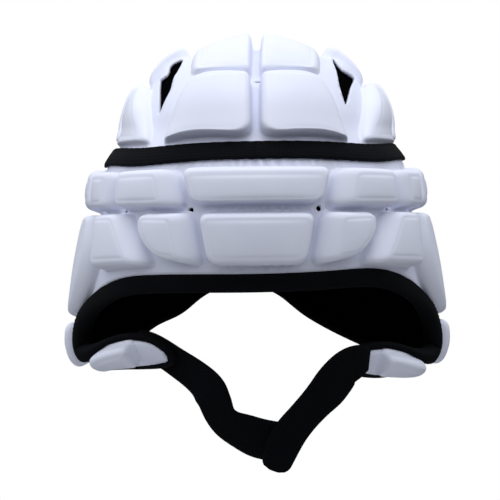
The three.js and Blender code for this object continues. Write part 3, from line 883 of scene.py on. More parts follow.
# Name, thickness, the top side's ends and the bottom side's, each an azimuth and a height,
# and how far the inner and the outer side bow, in degrees.
SIDE_PADS = [
    ("pad_side_front", CROWN_PAD - 1, [65, -18, 90, -18.6], [37.5, -49.6, 72, -48.6], [-4.5, 0]),
    ("pad_side_middle", CROWN_PAD, [93, -16.5, 116, -16], [75, -47.6, 108, -47], [0, 0]),
    ("pad_side_back", CROWN_PAD, [119, -16, 138, -21], [111, -45.4, 143, -45.4], [0, 0]),
    ("pad_upper_1", RING_PAD, [22, -63.4, 43.4, -63.4], [19.2, -82.6, 43.4, -82.6], [0, 0]),
    ("pad_upper_2", RING_PAD, [45.4, -63.2, 65, -62.6], [45.4, -82.6, 63, -82.6], [0, 0]),
    ("pad_upper_3", RING_PAD, [67, -60.8, 92, -60.8], [65, -82.6, 91, -82.6], [0, 0]),
    ("pad_upper_4", RING_PAD, [94, -60.8, 124, -60.8], [93, -82.6, 124, -82.6], [0, 0]),
    ("pad_upper_5", RING_PAD, [126, -60.8, 157, -60.8], [126, -82.6, 159, -82.6], [0, 0]),
    ("pad_brow_1", RING_PAD, [17.2, -84.6, 32, -84.6], [14.8, -110.4, 25, -107.4], [0, 4]),
    ("pad_brow_2", RING_PAD, [39, -84.6, 57, -84.6], [29.5, -110.4, 55.5, -113], [0, 0]),
    ("pad_temple", RING_PAD, [59, -84.6, 87, -84.6], [78.5, -139, 87.5, -139], [-8, 0]),
    ("pad_over_ear", RING_PAD, [89, -84.6, 124, -84.6], [89.5, -110.4, 124, -110.4], [0, 0]),
    ("pad_ear", RING_PAD, [89.6, -112.6, 124, -112.6], [90, -139, 124, -136.5], [0, 0]),
    ("pad_ear_lower", RING_PAD, [83.5, -141.3, 108, -141.3], [85, -162, 107, -161], [0, 0]),
    ("pad_behind_ear", RING_PAD, [110, -141, 129, -137.3], [109, -159.6, 126, -153.4], [0, 0]),
    ("pad_back_side", RING_PAD, [126, -84.6, 159, -84.6], [126, -110.4, 157, -110.4], [0, 0]),
    ("pad_nape", RING_PAD, [126.5, -112.6, 157, -112.6], [131.5, -146, 150, -133], [0, 0]),
    ("pad_jaw", JAW_PAD, [45.5, -151.6, 68, -158.4], [45.5, -163.4, 67, -164.9], [0, 0]),
]
MIDDLE_PADS = [
    ("pad_upper_front", RING_PAD, [-20.2, -63, 20.2, -63], [-17.2, -80.6, 17.2, -80.4], [0, 0]),
    ("pad_brow_front", RING_PAD, [-15.2, -84.6, 15.2, -84.6], [-12.8, -110, 12.8, -110], [0, 0]),
    (
        "pad_upper_back", RING_PAD,
        [159.5, -60.8, 200.5, -60.8], [161.5, -82.6, 198.5, -82.6], [0, 0],
    ),
    ("pad_back", RING_PAD, [161.5, -84.6, 198.5, -84.6], [160, -112, 200, -112], [0, 0]),
]
# How wide each side's shoulder is, in millimetres: towards the front or the middle line,
# away from it, at the top and at the bottom. A skirt is how far the outer side slopes out
# over the cover, where the cloth is drawn tight from the pad to a vent. Corner is the radius
# of the corners. The columns are inner, outer, top, bottom, skirt and corner.
SHOULDERS = {
    "pad_crown_front": (3.4, 3, 1.4, 4, 5, 3),
    "pad_crown_top": (3.4, 4, 2.4, 6, 4, 3.6),
    "pad_crown_side_top": (5, 11, 5, 6, 0, 4.6),
    "pad_crown_side_back": (3.2, 3, 3, 3, 0, 3),
    "pad_side_front": (8, 4, 3.6, 2.8, 0, 4.2),
    "pad_upper_front": (3.2, 3.2, 4.2, 1.4, 0, 4.6),
    "pad_brow_front": (2.8, 2.8, 3.2, 2.8, 0, 4.6),
    "pad_upper_1": (9, 3, 3.6, 3, 0, 4.2),
    "pad_upper_2": (7.5, 3.5, 3.6, 3, 0, 4.2),
    "pad_brow_1": (9, 3, 3.4, 3, 0, 4.2),
    "pad_brow_2": (9, 3, 3.4, 3.6, 0, 4.2),
    "pad_temple": (9, 4, 4, 4, 0, 4.6),
    "pad_jaw": (3.5, 3.5, 3.5, 3.5, 0, 3.5),
}
CROWN_SHOULDER = (5.6, 5.6, 5.6, 5.6, 0, 4.6)
RING_SHOULDER = (5, 5, 5, 5, 0, 4.6)
# The shares by which a pad thins towards its top, outer and bottom sides, and how far across
# it the thinning towards the outer side begins.
THINNED = {
    "pad_crown_top": (0.2, 0.6, 0, 0.05),
    "pad_crown_back_top": (0, 0.6, 0, 0.05),
    "pad_crown_side_top": (0, 0.45, 0, 0.05),
    "pad_crown_side_back": (0, 0.3, 0.3, 0.05),
    "pad_crown_front": (0.15, 0.4, 0, 0.62),
    "pad_jaw": (0, 0, 0.55, 0.62),
    "pad_side_front": (0.3, 0.5, 0.55, 0.62),
    "pad_side_middle": (0, 0, 0.5, 0.62),
}
UNDERCUT = {"pad_crown_front": 3.4}  # how far the top side's wall leans out over its foot
ROUNDER = {"pad_crown_front": 6.5}  # how much larger the inner top corner's radius is

# %% A pad's grid of cells
CELL = 4.2
CORNER_STEPS = 2  # cells on each side of a corner that follow its arc
SKIRT_SHARE = 0.85  # how nearly straight a skirt's slope is
FOOT_WIDTH = 5.6  # the inset that the profile's columns are drawn for
FOOT_RINGS = [(-1.6, -0.25), (-0.9, 0.05), (-0.4, 0.45), (-0.1, 1.2), (0.35, 3.0)]
BOTTOM_RING = (0.6, -0.6)
LIP, LIP_WIDTH = 0.13, 2.0  # the cloth is a little higher round the face than on it
FACE_SINK = 0.1
SHOULDER_RADIUS, SHOULDER_SHARE = 4.6, 0.55  # the profile's own, at most that share of its height
SHOULDER_TURNS = np.radians([4, 26, 48, 70, 90])
WALL_INSET, FOOT_CLEAR = 0.7, 0.6  # the wall is set in, and the foot's rings end below it
FACET_FROM, FACET_LEAN, FACET_SHARE = 0.4, 0.1, 0.75
FACET_WIDTHS = (6.5, 9)  # a shoulder narrower than this is round, a wider one a facet
LEAST_RADIUS, RADIUS_LOSS = 0.4, 0.35  # of a corner, and what an inset ring's loses a millimetre
SWELL_POWER = 0.7
THIN_SPAN, THIN_BELOW, THIN_POWER = 0.7, 0.43, 1.5  # how a pad's thinning spreads over it


def pad_profile(thick):
    """Rings from the foot up to the face: how far each is set in, and its height."""
    shoulder = min(SHOULDER_RADIUS, thick * SHOULDER_SHARE)
    over = [
        (WALL_INSET + shoulder * (1 - np.cos(turn)), thick - shoulder * (1 - np.sin(turn)))
        for turn in SHOULDER_TURNS
    ]
    over[-1] = (over[-1][0], thick + LIP)
    foot = [ring for ring in FOOT_RINGS if ring[1] < thick - shoulder - FOOT_CLEAR]
    return [BOTTOM_RING, *foot, *over, (over[-1][0] + LIP_WIDTH, thick - FACE_SINK)]


def shoulder_inset(inset, height, width, thick):
    """The profile's inset on a side whose shoulder is that wide. A wide one is a flat facet."""
    if inset <= 0 or height <= 0:
        return inset
    rounded = inset * width / FOOT_WIDTH
    start = thick * FACET_FROM
    facet = width * max(0.0, (height - start) / (thick - start)) + FACET_LEAN * inset
    return rounded + FACET_SHARE * ease(width, *FACET_WIDTHS) * (facet - rounded)


def side_places(steps, corner):
    """How far along a side its points are: a corner's arc, the straight, a corner's arc.
    Each place is the share of the straight from one arc's end to the other's, and the angle
    left to turn where it is on an arc."""
    straight = steps - 2 * corner
    shares = np.concatenate([np.zeros(corner), np.linspace(0, 1, straight + 1), np.ones(corner)])
    half = np.linspace(45, 0, corner + 1)[:-1]
    angles = np.concatenate([half, np.zeros(straight + 1), half[::-1]])
    return shares, angles


def ring_points(cells, insets, radius, rounder, lengths):
    """The (u, v) of a ring of a pad, going round it, with arcs at its corners. insets are in
    millimetres: inner, outer, top and bottom. rounder is how much larger the radius is at
    the inner top corner. lengths turns millimetres into shares."""
    inner, outer, top, bottom = insets
    across, down = cells
    width_at, height_at = lengths
    radius = max(radius, LEAST_RADIUS)
    points = {}

    def place(u_share, u_mm, v_share, v_mm):
        """Shares, with millimetres added. Each way's length depends on the other's place."""
        u, v = u_share + u_mm / width_at(0.5), v_share + v_mm / height_at(0.5)
        for _ in range(3):
            u, v = u_share + u_mm / width_at(v), v_share + v_mm / height_at(u)
        return np.stack([u, v], axis=-1)

    def along(steps, first, last, more):
        """Positions along one side, and how far each is drawn in from the side's line."""
        shares, angles = side_places(steps, CORNER_STEPS)
        turn = np.radians(angles)
        start_part, end_part = (shares == 0) & (angles > 0), (shares == 1) & (angles > 0)
        start = radius + more
        mm = (1 - shares) * (first + start) - shares * (last + radius)
        mm = mm - start_part * start * np.sin(turn) + end_part * radius * np.sin(turn)
        return shares, mm, np.where(start_part, start, radius) * (1 - np.cos(turn))

    shares, mm, drawn = along(across, inner, outer, rounder)
    points["top"] = place(shares, mm, 0, top + drawn)
    shares, mm, drawn = along(across, inner, outer, 0)
    points["bottom"] = place(shares, mm, 1, -bottom - drawn)
    shares, mm, drawn = along(down, top, bottom, rounder)
    points["inner"] = place(0, inner + drawn, shares, mm)
    shares, mm, drawn = along(down, top, bottom, 0)
    points["outer"] = place(1, -outer - drawn, shares, mm)
    return points


def filled(ring, cells):
    """A grid of (u, v) inside a ring, drawn smoothly between its four sides."""
    across, down = cells
    u = np.linspace(0, 1, across + 1)[:, None, None]
    v = np.linspace(0, 1, down + 1)[None, :, None]
    top, bottom = ring["top"][:, None, :], ring["bottom"][:, None, :]
    inner, outer = ring["inner"][None, :, :], ring["outer"][None, :, :]
    corners = (1 - u) * (1 - v) * ring["top"][0] + u * (1 - v) * ring["top"][-1]
    corners = corners + (1 - u) * v * ring["bottom"][0] + u * v * ring["bottom"][-1]
    return (1 - v) * top + v * bottom + (1 - u) * inner + u * outer - corners


def around(ring):
    """A ring's points once round, from the inner top corner over the top."""
    forth = [ring["top"][:-1], ring["outer"][:-1]]
    return np.concatenate([*forth, ring["bottom"][:0:-1], ring["inner"][:0:-1]])


def rim(grid):
    """The numbers of a grid's outermost points, once round in the same order."""
    return np.concatenate([grid[:-1, 0], grid[-1, :-1], grid[:0:-1, -1], grid[0, :0:-1]])


def between(starts, ends):
    """The straight distances between two lines of places on the form."""
    return np.linalg.norm(surface(*ends) - surface(*starts), axis=-1)


def pad_mesh(place, thick, shoulders, thinned, undercut, rounder):
    """Points, faces and a cloth layout of one pad, and the points that are held down.
    place turns (u, v) into azimuth and run."""
    shares = np.linspace(0, 1, 9)
    start, end = np.zeros(9), np.ones(9)
    lengths = between(place(start, shares), place(end, shares))
    depths = between(place(shares, start), place(shares, end))

    def width_at(v):
        return np.interp(v, shares, lengths)

    def height_at(u):
        return np.interp(u, shares, depths)

    sides = (width_at(0.5), height_at(0.5))
    cells = [max(3, round(length / CELL)) + 2 * CORNER_STEPS - 2 for length in sides]
    *widths, skirt, corner = shoulders
    rings, heights = [], []
    for inset, height in pad_profile(thick):
        insets = [shoulder_inset(inset, height, width, thick) for width in widths]
        insets[2] += undercut * (1 - max(height, 0) / thick)
        if skirt and height > BOTTOM_RING[1]:
            slope = (skirt + widths[1]) * max(height, 0) / thick - skirt
            insets[1] += SKIRT_SHARE * (slope - insets[1])
        radius = corner - RADIUS_LOSS * max(inset, 0)
        rings.append(ring_points(cells, insets, radius, rounder, (width_at, height_at)))
        heights.append(height)
    points, layout, loops = [], [], []

    def add(uv, height):
        """Adds points at heights off the cover, thinned, and returns their numbers."""
        u, v = uv[..., 0], uv[..., 1]
        azimuth, run = place(u, v)
        first = sum(len(p) for p in points)
        height = np.broadcast_to(height, run.shape)
        share = np.clip(height / thick, 0, 1)
        *thins, begins = thinned
        ways = (1 - v / THIN_SPAN, (u - begins) / (1 - begins), v / THIN_SPAN - THIN_BELOW)
        powers = (THIN_POWER, 0.7 + 1.3 * begins, THIN_POWER)
        parts = zip(thins, ways, powers)
        left = [1 - thin * np.clip(way, 0, 1) ** power for thin, way, power in parts]
        height = height * (1 - share * (1 - np.prod(left, axis=0)))
        height = height + vent_lift(azimuth, run) * (1 - share)
        points.append(above(azimuth, run, height).reshape(-1, 3))
        layout.append(cloth_layout(azimuth, run).reshape(-1, 2))
        return first + np.arange(u.size).reshape(u.shape)

    face_uv = filled(rings[-1], cells)
    arches = [np.sin(np.pi * np.linspace(0, 1, count + 1)) for count in cells]
    swell = arches[0][:, None] * arches[1][None, :]
    face = add(face_uv, thick + CROWNING * swell**SWELL_POWER)
    base = add(filled(rings[0], cells), np.full(face_uv.shape[:-1], heights[0]))
    for ring, height in zip(rings[1:-1], heights[1:-1]):
        uv = around(ring)
        loops.append(add(uv, np.full(len(uv), height)))
    loops = [rim(base), *loops, rim(face)]
    faces = []
    for lower, upper in zip(loops[:-1], loops[1:]):
        walls = zip(lower, np.roll(lower, -1), np.roll(upper, -1), upper)
        faces += [tuple(int(k) for k in wall) for wall in walls]
    for grid, flip in ((face, False), (base, True)):
        for i in range(cells[0]):
            for j in range(cells[1]):
                quad = (grid[i, j], grid[i, j + 1], grid[i + 1, j + 1], grid[i + 1, j])
                faces.append(tuple(int(k) for k in (quad[::-1] if flip else quad)))
    held = np.concatenate([base.ravel(), *loops[1:4]])
    return np.concatenate(points), faces, np.concatenate(layout), held


# %% Where each pad lies
def crown_place(corners, side):
    """Turns a crown pad's (u, v) into azimuth and run."""
    a, b, c, d = np.asarray(corners, float)

    def place(u, v):
        u, v = u[..., None], v[..., None]
        flat = (1 - v) * ((1 - u) * a + u * b) + v * ((1 - u) * d + u * c)
        return from_crown(side * flat[..., 0], flat[..., 1])

    return place


def ring_place(top, bottom, bows, side):
    """Turns the (u, v) of a pad of the sides or the ring into azimuth and run."""
    a, b = (top[0], run_at(top[1])), (top[2], run_at(top[3]))
    c, d = (bottom[2], run_at(bottom[3])), (bottom[0], run_at(bottom[1]))

    def place(u, v):
        flat = [
            (1 - v) * ((1 - u) * a[k] + u * b[k]) + v * ((1 - u) * d[k] + u * c[k])
            for k in (0, 1)
        ]
        bow = bows[0] * (1 - u) + bows[1] * u
        return side * (flat[0] + bow * 4 * v * (1 - v)), flat[1]

    return place


def all_pads():
    """Every pad's name, its place on the form, its thickness and its shoulders."""
    for side, suffix in ((1, "left"), (-1, "right")):
        for name, thick, corners in CROWN_PADS:
            place = crown_place(corners, side)
            yield f"{name}_{suffix}", place, thick, SHOULDERS.get(name, CROWN_SHOULDER)
        for name, thick, *sides in SIDE_PADS:
            usual = CROWN_SHOULDER if name.startswith("pad_side_") else RING_SHOULDER
            yield f"{name}_{suffix}", ring_place(*sides, side), thick, SHOULDERS.get(name, usual)
    for name, thick, *sides in MIDDLE_PADS:
        yield name, ring_place(*sides, 1), thick, SHOULDERS.get(name, RING_SHOULDER)


pads, pinned = {}, {}
for name, place, thick, shoulders in all_pads():
    family = name.rsplit("_", 1)[0]
    ways = THINNED.get(family, (0, 0, 0, 0)), UNDERCUT.get(family, 0), ROUNDER.get(family, 0)
    points, faces, layout, held = pad_mesh(place, SEAT_GAP + thick, shoulders, *ways)
    pads[name] = make_object(name + "_soft", points, faces, layout)
    assert len(pads[name].data.vertices) == len(points), name
    pinned[name] = held
print("pads:", len(pads), "most faces:", max(len(p.data.polygons) for p in pads.values()))

# %% [markdown]
# ### Cloth drawn over the foam
# The real cloth is glued down round each pad and pulled tight over it, so a face bulges a
# little and its rim stays crisp. A cloth simulation does that: every pad's foot is held, a
# light pressure stands for the foam pushing out, and no point may move further than the
# foam would let it. All the pads are one mesh for this, since one cloth runs faster than 52.

# %% Settle the cloth
PRESSURE, LAST_FRAME, MOST_MOVED = 4.0, 16, 0.9


def settle(pieces, held, most_moved):
    """Simulates the pieces as one cloth and moves their points, at most so many millimetres."""
    points, faces, fixed, starts = [], [], [], {}
    for name, piece in pieces.items():
        first = starts[name] = len(points)
        points += [v.co.copy() for v in piece.data.vertices]
        faces += [[first + i for i in p.vertices] for p in piece.data.polygons]
        fixed += [first + int(i) for i in np.unique(held[name])]
    mesh = bpy.data.meshes.new("settling")
    mesh.from_pydata(points, [], faces)
    whole = link_object("settling", mesh)
    whole.vertex_groups.new(name="held").add(fixed, 1.0, "REPLACE")
    cloth = whole.modifiers.new("cloth", "CLOTH")
    cloth.settings.quality = 4
    cloth.settings.mass = 0.15
    cloth.settings.tension_stiffness = cloth.settings.compression_stiffness = 18
    cloth.settings.shear_stiffness = 8
    cloth.settings.bending_stiffness = 0.6
    cloth.settings.use_pressure = True
    cloth.settings.uniform_pressure_force = PRESSURE
    cloth.settings.vertex_group_mass = "held"
    cloth.settings.effector_weights.gravity = 0
    cloth.collision_settings.use_collision = False
    cloth.point_cache.frame_start, cloth.point_cache.frame_end = 1, LAST_FRAME
    for step in range(1, LAST_FRAME + 1):
        bpy.context.scene.frame_set(step)
    settled = whole.evaluated_get(bpy.context.evaluated_depsgraph_get()).to_mesh()
    before = np.array(points)
    flat = np.zeros(3 * len(points))
    settled.vertices.foreach_get("co", flat)
    moved = flat.reshape(-1, 3) - before
    far = np.linalg.norm(moved, axis=1, keepdims=True)
    limit = most_moved * MM
    moved *= np.tanh(far / limit) * limit / np.maximum(far, 1e-9)
    after = before + moved
    for name, piece in pieces.items():
        count = len(piece.data.vertices)
        piece.data.vertices.foreach_set("co", after[starts[name]:starts[name] + count].ravel())
    bpy.context.scene.frame_set(1)
    bpy.data.objects.remove(whole)
    return far.mean() / MM, far.max() / MM


mean, most = settle(pads, pinned, MOST_MOVED)
print("cloth wanted to move, in mm: mean", round(mean, 2), "most", round(most, 2))

# %% Finish the pads
for name, pad in pads.items():
    subdivision = pad.modifiers.new("subdivision", "SUBSURF")
    subdivision.levels = subdivision.render_levels = 1
    smooth_mesh = plain_mesh(pad)
    pad.modifiers.clear()
    pad.data = smooth_mesh
    pad.data.shade_smooth()
    if name in ("pad_ear_left", "pad_ear_right"):
        punch(pad, ear_places, EAR_HOLE, PAD_WHITE)
    finish_piece(pad, PAD_WHITE, "white_pad", name)
print("pads' triangles:", sum(2 * len(p.data.polygons) for p in pads.values()))

# %% [markdown]
# ## The elastic band
# A woven elastic band, one centimetre wide, runs round the head between the crown and the
# ring of pads. It is swept round the form as a thin strip with rounded edges.

# %% The band
BAND_WIDTH, BAND_THICK = 10, 1.6
BAND_HEIGHT, BAND_DIP, DIP_POWER = -52, 2.3, 1.6  # at the back, and how much lower in front
BAND_SAG, BAND_SAG_AT = 1.6, (38, 17)  # lower still, degrees from the front, how far round
BAND_TILT = 0.9  # how much higher it is on the wearer's left
BAND_KINKS = [(0.8, 287, 4), (-1.0, 277, 4)]  # how much lower, azimuth, how far round
BAND_RIPPLE, RIPPLE_PITCH = 0.18, 0.8  # its waver up and down
BAND_WAVE, WAVE_TURN = 0.12, 11  # and in and out
STRIP_ACROSS, STRIP_ROUND = 7, 5  # points across a strip's flat side, and round each edge


def strip_outline(width, thick):
    """The section of a flat strip with rounded edges: across and up, once round."""
    radius = thick / 2
    turn = np.radians(np.linspace(-90, 90, STRIP_ROUND))
    end = np.stack([np.cos(turn), np.sin(turn)], axis=-1) * radius
    flat = np.linspace(-1, 1, STRIP_ACROSS)[1:-1] * (width / 2 - radius)
    right = end + (width / 2 - radius, 0)
    left = -end + (-(width / 2 - radius), 0)
    top = np.stack([flat[::-1], np.full(len(flat), radius)], axis=-1)
    return np.concatenate([right, top, left, -top])


def loft(rings, closed):
    """Faces between rings of equally many points, with the ends capped unless it closes."""
    count, around_ = len(rings), len(rings[0])
    faces = []
    for i in range(count if closed else count - 1):
        a, b = i * around_, ((i + 1) % count) * around_
        for k in range(around_):
            n = (k + 1) % around_
            faces.append((a + k, a + n, b + n, b + k))
    if not closed:
        faces.append(tuple(range(around_))[::-1])
        faces.append(tuple(range((count - 1) * around_, count * around_)))
    return faces


def sweep(name, rings, lie, closed):
    """An object from a strip's or a roll's rings of points, and their places on the cloth."""
    return make_object(name, rings.reshape(-1, 3), loft(rings, closed), lie.reshape(-1, 2))


def band_points():
    """The band's rings of points round the head, and their places on the cloth."""
    azimuths = turned(np.arange(0, 360, 1.0))
    frontness = (1 + np.cos(np.radians(azimuths))) / 2
    sag = BAND_SAG * bell(from_front(azimuths), *BAND_SAG_AT)
    sag = sag - BAND_TILT * np.sin(np.radians(azimuths))
    sag += sum(lower * bell(azimuths, middle, width) for lower, middle, width in BAND_KINKS)
    middle = run_at(BAND_HEIGHT - BAND_DIP * frontness**DIP_POWER - sag)
    across, up = strip_outline(BAND_WIDTH, BAND_THICK).T
    ripple = BAND_RIPPLE * folds(azimuths, RIPPLE_PITCH)
    runs = middle[:, None] + across + ripple[:, None]
    wave = BAND_WAVE * folds(azimuths + WAVE_TURN)[:, None]
    heights = SEAT_GAP + BAND_THICK / 2 + up + wave
    azimuths = np.broadcast_to(azimuths[:, None], runs.shape)
    lie = cloth_layout(azimuths, np.broadcast_to(across, runs.shape))
    return above(azimuths, runs, heights), lie


band_rings, band_layout = band_points()
band = sweep("crown_band_elastic", band_rings, band_layout, closed=True)
finish_piece(band, ELASTIC, "black_elastic", "crown_band")
print("band:", len(band.data.polygons), "faces")

# %% [markdown]
# ## The padded binding
# One black binding closes the long edge: under the brow, down each flap and round the nape.
# It is a soft roll, deep and full round the face and thin under the jaw and at the nape. It
# is swept along the edge as a rounded section whose size changes with the place.

# %% The binding
BINDING_DEPTH, JAW_DEPTH, HEM_DEPTH = 9.4, 3.6, 4.5
BINDING_THICK, BINDING_SWELL, BINDING_SPARE = 4, 5.5, 0.25
# The azimuths over which it deepens along the jaw, and swells down the front of a flap.
DEEPENS, SWELLS = (58, 80), (54, 77)
# How far the skins' edge is inside it, at the jaw, at the hem and round the face.
WRAPS = [-0.4, 0.3, 1.4]
BROW_POINTS, JAW_POINTS, HEM_POINTS = 90, 50, 140
EDGE_STEP = 2.6
LINE_EVENED, WAY_EVENED, SIZE_EVENED = 3, 6, 12  # how many times each is evened out
ROLL_TURN = 20  # degrees between a section's points
ROLL_ACROSS, ROLL_UP = 0.75, 0.8  # under 1 is squarer than an ellipse
ROLL_TAPER = 0.12  # it is thinner towards its free side


def half_edge(side):
    """The edge from the brow's middle to the nape's, on one side (1 is the wearer's left):
    azimuth, run and how deep and how swollen the binding is there."""
    brow = np.linspace(0, OPENING_BACK, BROW_POINTS)
    jaw = np.linspace(OPENING_BACK, TAB_FRONT, JAW_POINTS)
    hem = np.linspace(TAB_FRONT, 180, HEM_POINTS)
    azimuth = side * np.concatenate([brow, jaw, hem])
    lines = {"brow": brow, "jaw": jaw, "hem": hem}
    runs = [edge_run(line, side * places % 360) for line, places in lines.items()]
    depth = np.concatenate([
        np.full(len(brow), BINDING_DEPTH),
        JAW_DEPTH + (BINDING_DEPTH - JAW_DEPTH) * ease(jaw, *DEEPENS),
        np.full(len(hem), HEM_DEPTH),
    ])
    swell = BINDING_SWELL * ease(np.concatenate([brow, jaw, np.zeros(len(hem))]), *SWELLS)
    return np.stack([azimuth, np.concatenate(runs), depth, swell], axis=-1)


def distances_along(line):
    """How far along an open line each of its points is."""
    return np.concatenate([[0], np.cumsum(np.linalg.norm(np.diff(line, axis=0), axis=1))])


def evenly(points, *others, step):
    """Resamples a closed line, and what goes with it, at even steps."""
    lengths = distances_along(np.concatenate([points, points[:1]]))
    places = np.linspace(0, lengths[-1], round(lengths[-1] / step), endpoint=False)
    result = []
    for values in (points, *others):
        values = np.concatenate([values, values[:1]])
        columns = [np.interp(places, lengths, column) for column in values.T]
        result.append(np.stack(columns, axis=-1))
    return result, lengths[-1]


def binding_rings():
    """The binding's rings of points, their places on the cloth, and the edge's length."""
    azimuth, run, depth, swell = np.concatenate([half_edge(1), half_edge(-1)[1:-1][::-1]]).T
    azimuth = turned(azimuth % 360)
    middle = -(COVER_THICK + SKIN_GAP + LINING_THICK) / 2
    line = above(azimuth, run, middle)
    wrap = np.interp(depth, [JAW_DEPTH, HEM_DEPTH, BINDING_DEPTH], WRAPS)
    sizes = np.stack([depth, swell, wrap], axis=-1)
    (line, outs, sizes), length = evenly(line, normal(azimuth, run), sizes, step=EDGE_STEP)
    line, sizes = soften(line, LINE_EVENED), soften(sizes, SIZE_EVENED)
    outs = unit(soften(outs, WAY_EVENED))
    tangent = unit(np.roll(line, -1, axis=0) - np.roll(line, 1, axis=0))
    away = unit(soften(np.cross(tangent, outs), WAY_EVENED))
    turn = np.radians(np.arange(0, 360, ROLL_TURN))
    across, up = np.cos(turn), np.sin(turn)
    rings, lie = [], []
    far = 0.0
    for here, out, edge, (depth_, swell_, wrap_) in zip(line, outs, away, sizes):
        reach = depth_ + wrap_
        half = (BINDING_THICK + swell_) / 2 + BINDING_SPARE
        flat = np.sign(across) * np.abs(across) ** ROLL_ACROSS * reach / 2 + reach / 2 - wrap_
        high = np.sign(up) * np.abs(up) ** ROLL_UP * half * (1 - ROLL_TAPER * across) + swell_ / 2
        rings.append(here + flat[:, None] * edge + high[:, None] * out)
        lie.append(np.stack([np.full(len(turn), far), turn * reach / 2], axis=-1))
        far += EDGE_STEP
    return np.array(rings), np.array(lie), length


rings, lie, edge_length = binding_rings()
binding = sweep("edge_binding_roll", rings, lie, closed=True)
finish_piece(binding, BINDING, "black_binding", "edge_binding")
print("binding:", round(edge_length), "mm round")

# %% [markdown]
# ## The chin straps
# Two straps of soft, thick cloth come down from the jaw tabs, lap under the chin, and close
# the loop. Each is a strip swept along its table's middle line, with rounded edges and a
# rounded end.

# %% The straps
STRAP_THICK = 3.4
STRAP_CORNER, CORNER_SHARE = 4.5, 0.95  # the end's rounding, and how much of it the ends lose
STRAP_SPAN = 7  # points to each row of a table
STRAP_EVENED, TWIST_EVENED = 3, 4  # how many times each is evened out
# x, y, z, which way its face looks, in degrees from the front and downwards, and width.
STRAP_RIGHT = np.array([
    [-58.5, -45, -152.5, -52, 22, 20],
    [-50.5, -54.5, -154.6, -45, 26, 20],
    [-40.8, -61, -160.6, -32, 28, 19.5],
    [-31.6, -66.5, -166.8, -22, 28, 20],
    [-25.4, -69.5, -172.8, -12, 32, 20.5],
    [-22, -69.8, -179.4, -4, 40, 17.8],
    [-19.6, -67.4, -186.2, 0, 38, 16.4],
    [-15.2, -64, -191.4, 0, 30, 18],
    [-8, -61.4, -195.4, 0, 28, 21],
    [1, -59.8, -199.4, 0, 28, 23.6],
    [11, -58.9, -201.2, 0, 28, 23],
    [19, -58.3, -201.6, 0, 28, 18],
])
STRAP_LEFT = np.array([
    [55.6, -65.2, -158.8, 44, 20, 14],
    [51.4, -68.6, -160, 40, 24, 20],
    [45, -71.2, -162.6, 32, 28, 23.5],
    [39.4, -72.2, -168.6, 24, 30, 24],
    [34.4, -72.6, -175, 14, 34, 22.5],
    [28.6, -72.2, -181.2, 6, 38, 19.8],
    [22.8, -70.6, -187.6, 0, 38, 18.4],
    [17.2, -67.8, -194.4, 0, 34, 18.6],
    [13.2, -65.4, -201.2, 0, 30, 18.2],
    [10.4, -64, -208.2, 0, 28, 16.6],
    [7.6, -63.2, -215.4, 0, 28, 14.6],
])


def through(rows, per_span):
    """A smooth open curve through a table's rows, in every column."""
    ghost = np.concatenate([[2 * rows[0] - rows[1]], rows, [2 * rows[-1] - rows[-2]]])
    t = np.linspace(0, 1, per_span, endpoint=False)[:, None]
    spans = []
    for a, b, c, d in zip(ghost[:-3], ghost[1:-2], ghost[2:-1], ghost[3:]):
        square, cube = 2 * a - 5 * b + 4 * c - d, 3 * b - a - 3 * c + d
        spans.append(0.5 * (2 * b + (c - a) * t + square * t**2 + cube * t**3))
    return np.concatenate([*spans, rows[-1:]])


def soften_between(values, times):
    """Evens out an open run of values, whose ends stay."""
    for _ in range(times):
        values[1:-1] = (values[:-2] + 2 * values[1:-1] + values[2:]) / 4
    return values


def strap_mesh(name, table):
    """A strap, its length in millimetres, and its rings of points."""
    rows = soften_between(through(table, STRAP_SPAN), STRAP_EVENED)
    line = rows[:, :3]
    tangent = unit(np.gradient(line, axis=0))
    facing, tilt = np.radians(rows[:, 3]), np.radians(rows[:, 4])
    level = np.cos(tilt)
    looking = np.stack([np.sin(facing) * level, -np.cos(facing) * level, -np.sin(tilt)], axis=-1)
    across = unit(soften_between(unit(np.cross(tangent, looking)), TWIST_EVENED))
    out = np.cross(across, tangent)
    along = distances_along(line)
    near = np.clip(1 - (along[-1] - along) / STRAP_CORNER, 0, 1)
    width = rows[:, 5] - 2 * STRAP_CORNER * (1 - np.sqrt(1 - near**2)) * CORNER_SHARE
    rings, lie = [], []
    for i in range(len(line)):
        outline = strip_outline(width[i], STRAP_THICK)
        rings.append(line[i] + outline[:, :1] * across[i] + outline[:, 1:] * out[i])
        lie.append(np.stack([np.full(len(outline), along[i]), outline[:, 0]], axis=-1))
    rings = np.array(rings)
    return sweep(name, rings, np.array(lie), closed=False), along[-1], rings


straps = {}
for name, table in (("chin_strap_right", STRAP_RIGHT), ("chin_strap_left", STRAP_LEFT)):
    strap, length, strap_rings = strap_mesh(name + "_cloth", table)
    finish_piece(strap, STRAP, "black_strap", name)
    straps[name] = strap, length, float(table[:, 5].mean()), strap_rings
    print(name, "length", round(length, 1), "mm")

# %% [markdown]
# ## Stitches
# Machine stitches hold the binding, the band and the straps' doubled edges. A tree walks a
# line at the stitch pitch and lays a small capsule of thread at each step, turned along it.

# %% A tree that sews
CAPSULE_SEGMENTS, CAPSULE_RINGS = 6, 4


